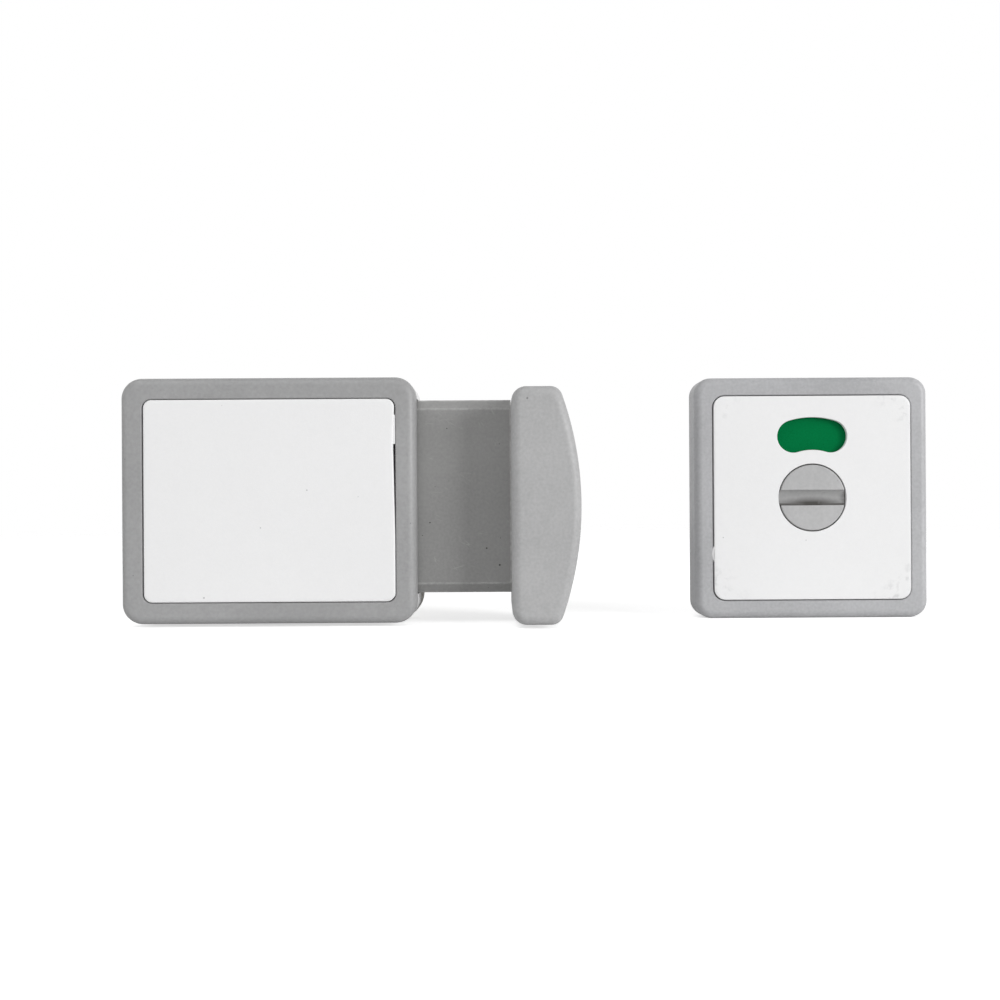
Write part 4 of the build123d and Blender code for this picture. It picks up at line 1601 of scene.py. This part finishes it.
@dataclass(frozen=True)
class Lamp:
    """A square area lamp, in metres and watts."""

    name: str
    place: Point
    size: float
    power: float

    def light(self, target: Point) -> None:
        """Adds the lamp and turns it to a target.

        Args:
            target: The place that it looks at.
        """
        bpy.ops.object.light_add(type="AREA", location=self.place)
        made = bpy.context.object
        made.name = self.name
        made.data.size = self.size
        made.data.energy = self.power
        aim = Vector(target) - Vector(self.place)
        made.rotation_euler = aim.to_track_quat("-Z", "Y").to_euler()


@dataclass
class Studio:
    """The floor, the surroundings, the lamps and the camera, in metres."""

    camera_place: Point = (0.0564, -0.26, -0.00015)
    camera_roll: float = math.radians(0.34)
    camera_near: float = 0.01
    focal_pixels: float = 989.3
    image_pixels: float = 1000.0
    sensor: float = 36.0
    floor_x: float = 0.06
    floor_z: float = -0.0308
    floor_half: float = 1.2
    floor_fade: Span = (0.25, 0.9)
    floor_colour: Colour = (0.95, 0.95, 0.95)
    floor_glow: float = 0.6
    world_level: float = 0.32
    lamps: tuple[Lamp, ...] = (
        Lamp("key", (1.55, -1.05, 0.4), 0.8, 24.0),
        Lamp("top", (-0.2, -0.4, 0.65), 0.5, 1.6),
        Lamp("left", (-1.0, -0.5, 0.25), 0.6, 1.8),
    )

    def floor(self) -> None:
        """A pale floor that fades into the white surroundings and keeps the object's shadow."""
        bpy.ops.object.select_all(action="DESELECT")
        bpy.ops.mesh.primitive_plane_add(size=2 * self.floor_half, location=(self.floor_x, 0, self.floor_z))
        ground = bpy.context.object
        ground.name = "floor"
        made = bpy.data.materials.new("pale_floor")
        made.use_nodes = True
        wires = Wiring(made.node_tree)
        reach = wires.node("VectorMath", {0: wires.place()}, operation="LENGTH").outputs["Value"]
        paper = wires.node("BsdfDiffuse", {"Color": shaded(self.floor_colour)})
        lift = wires.times(wires.node("LightPath").outputs["Is Camera Ray"], self.floor_glow)
        glow = wires.node("Emission", {"Color": WHITE, "Strength": lift})
        lit = wires.node("AddShader", {0: paper.outputs[0], 1: glow.outputs[0]})
        clear = wires.node("BsdfTransparent")
        fade = wires.remap(reach, self.floor_fade)
        mixed = wires.node("MixShader", {0: fade, 1: lit.outputs[0], 2: clear.outputs[0]})
        wires.node("OutputMaterial", {"Surface": mixed.outputs[0]})
        ground.data.materials.append(made)

    def world(self) -> None:
        """White surroundings: full white to the camera and to mirrors, softer as a light."""
        world = bpy.data.worlds.new("studio")
        world.use_nodes = True
        bpy.context.scene.world = world
        wires = Wiring(world.node_tree)
        path = wires.node("LightPath")
        seen = wires.math("MAXIMUM", path.outputs["Is Camera Ray"], path.outputs["Is Transmission Ray"])
        seen = wires.math("MAXIMUM", seen, path.outputs["Is Glossy Ray"])
        strength = wires.remap(seen, UNIT, (self.world_level, 1.0))
        shell = wires.node("Background", {"Color": WHITE, "Strength": strength})
        wires.node("OutputWorld", {"Surface": shell.outputs[0]})

    def camera(self) -> None:
        """The camera at the photograph's place, level and rolled a little."""
        bpy.ops.object.camera_add(location=self.camera_place, rotation=(QUARTER_TURN, self.camera_roll, 0))
        made = bpy.context.object
        made.data.sensor_width = self.sensor
        made.data.lens = self.focal_pixels / self.image_pixels * self.sensor
        made.data.clip_start = self.camera_near
        bpy.context.scene.camera = made

    def build(self) -> None:
        """Sets up the whole studio."""
        self.floor()
        self.world()
        for lamp in self.lamps:
            lamp.light((self.camera_place[0], 0, 0))
        self.camera()
        bpy.context.scene.view_settings.view_transform = "Standard"


def main() -> None:
    """Builds the latch piece by piece, then the studio."""
    logging.basicConfig(level=logging.INFO, format="%(name)s: %(message)s")
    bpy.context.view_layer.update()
    for unit in (IndoorUnit(), SlideBolt(), OutdoorUnit(), Studio()):
        unit.build()


if __name__ == "__main__":
    main()
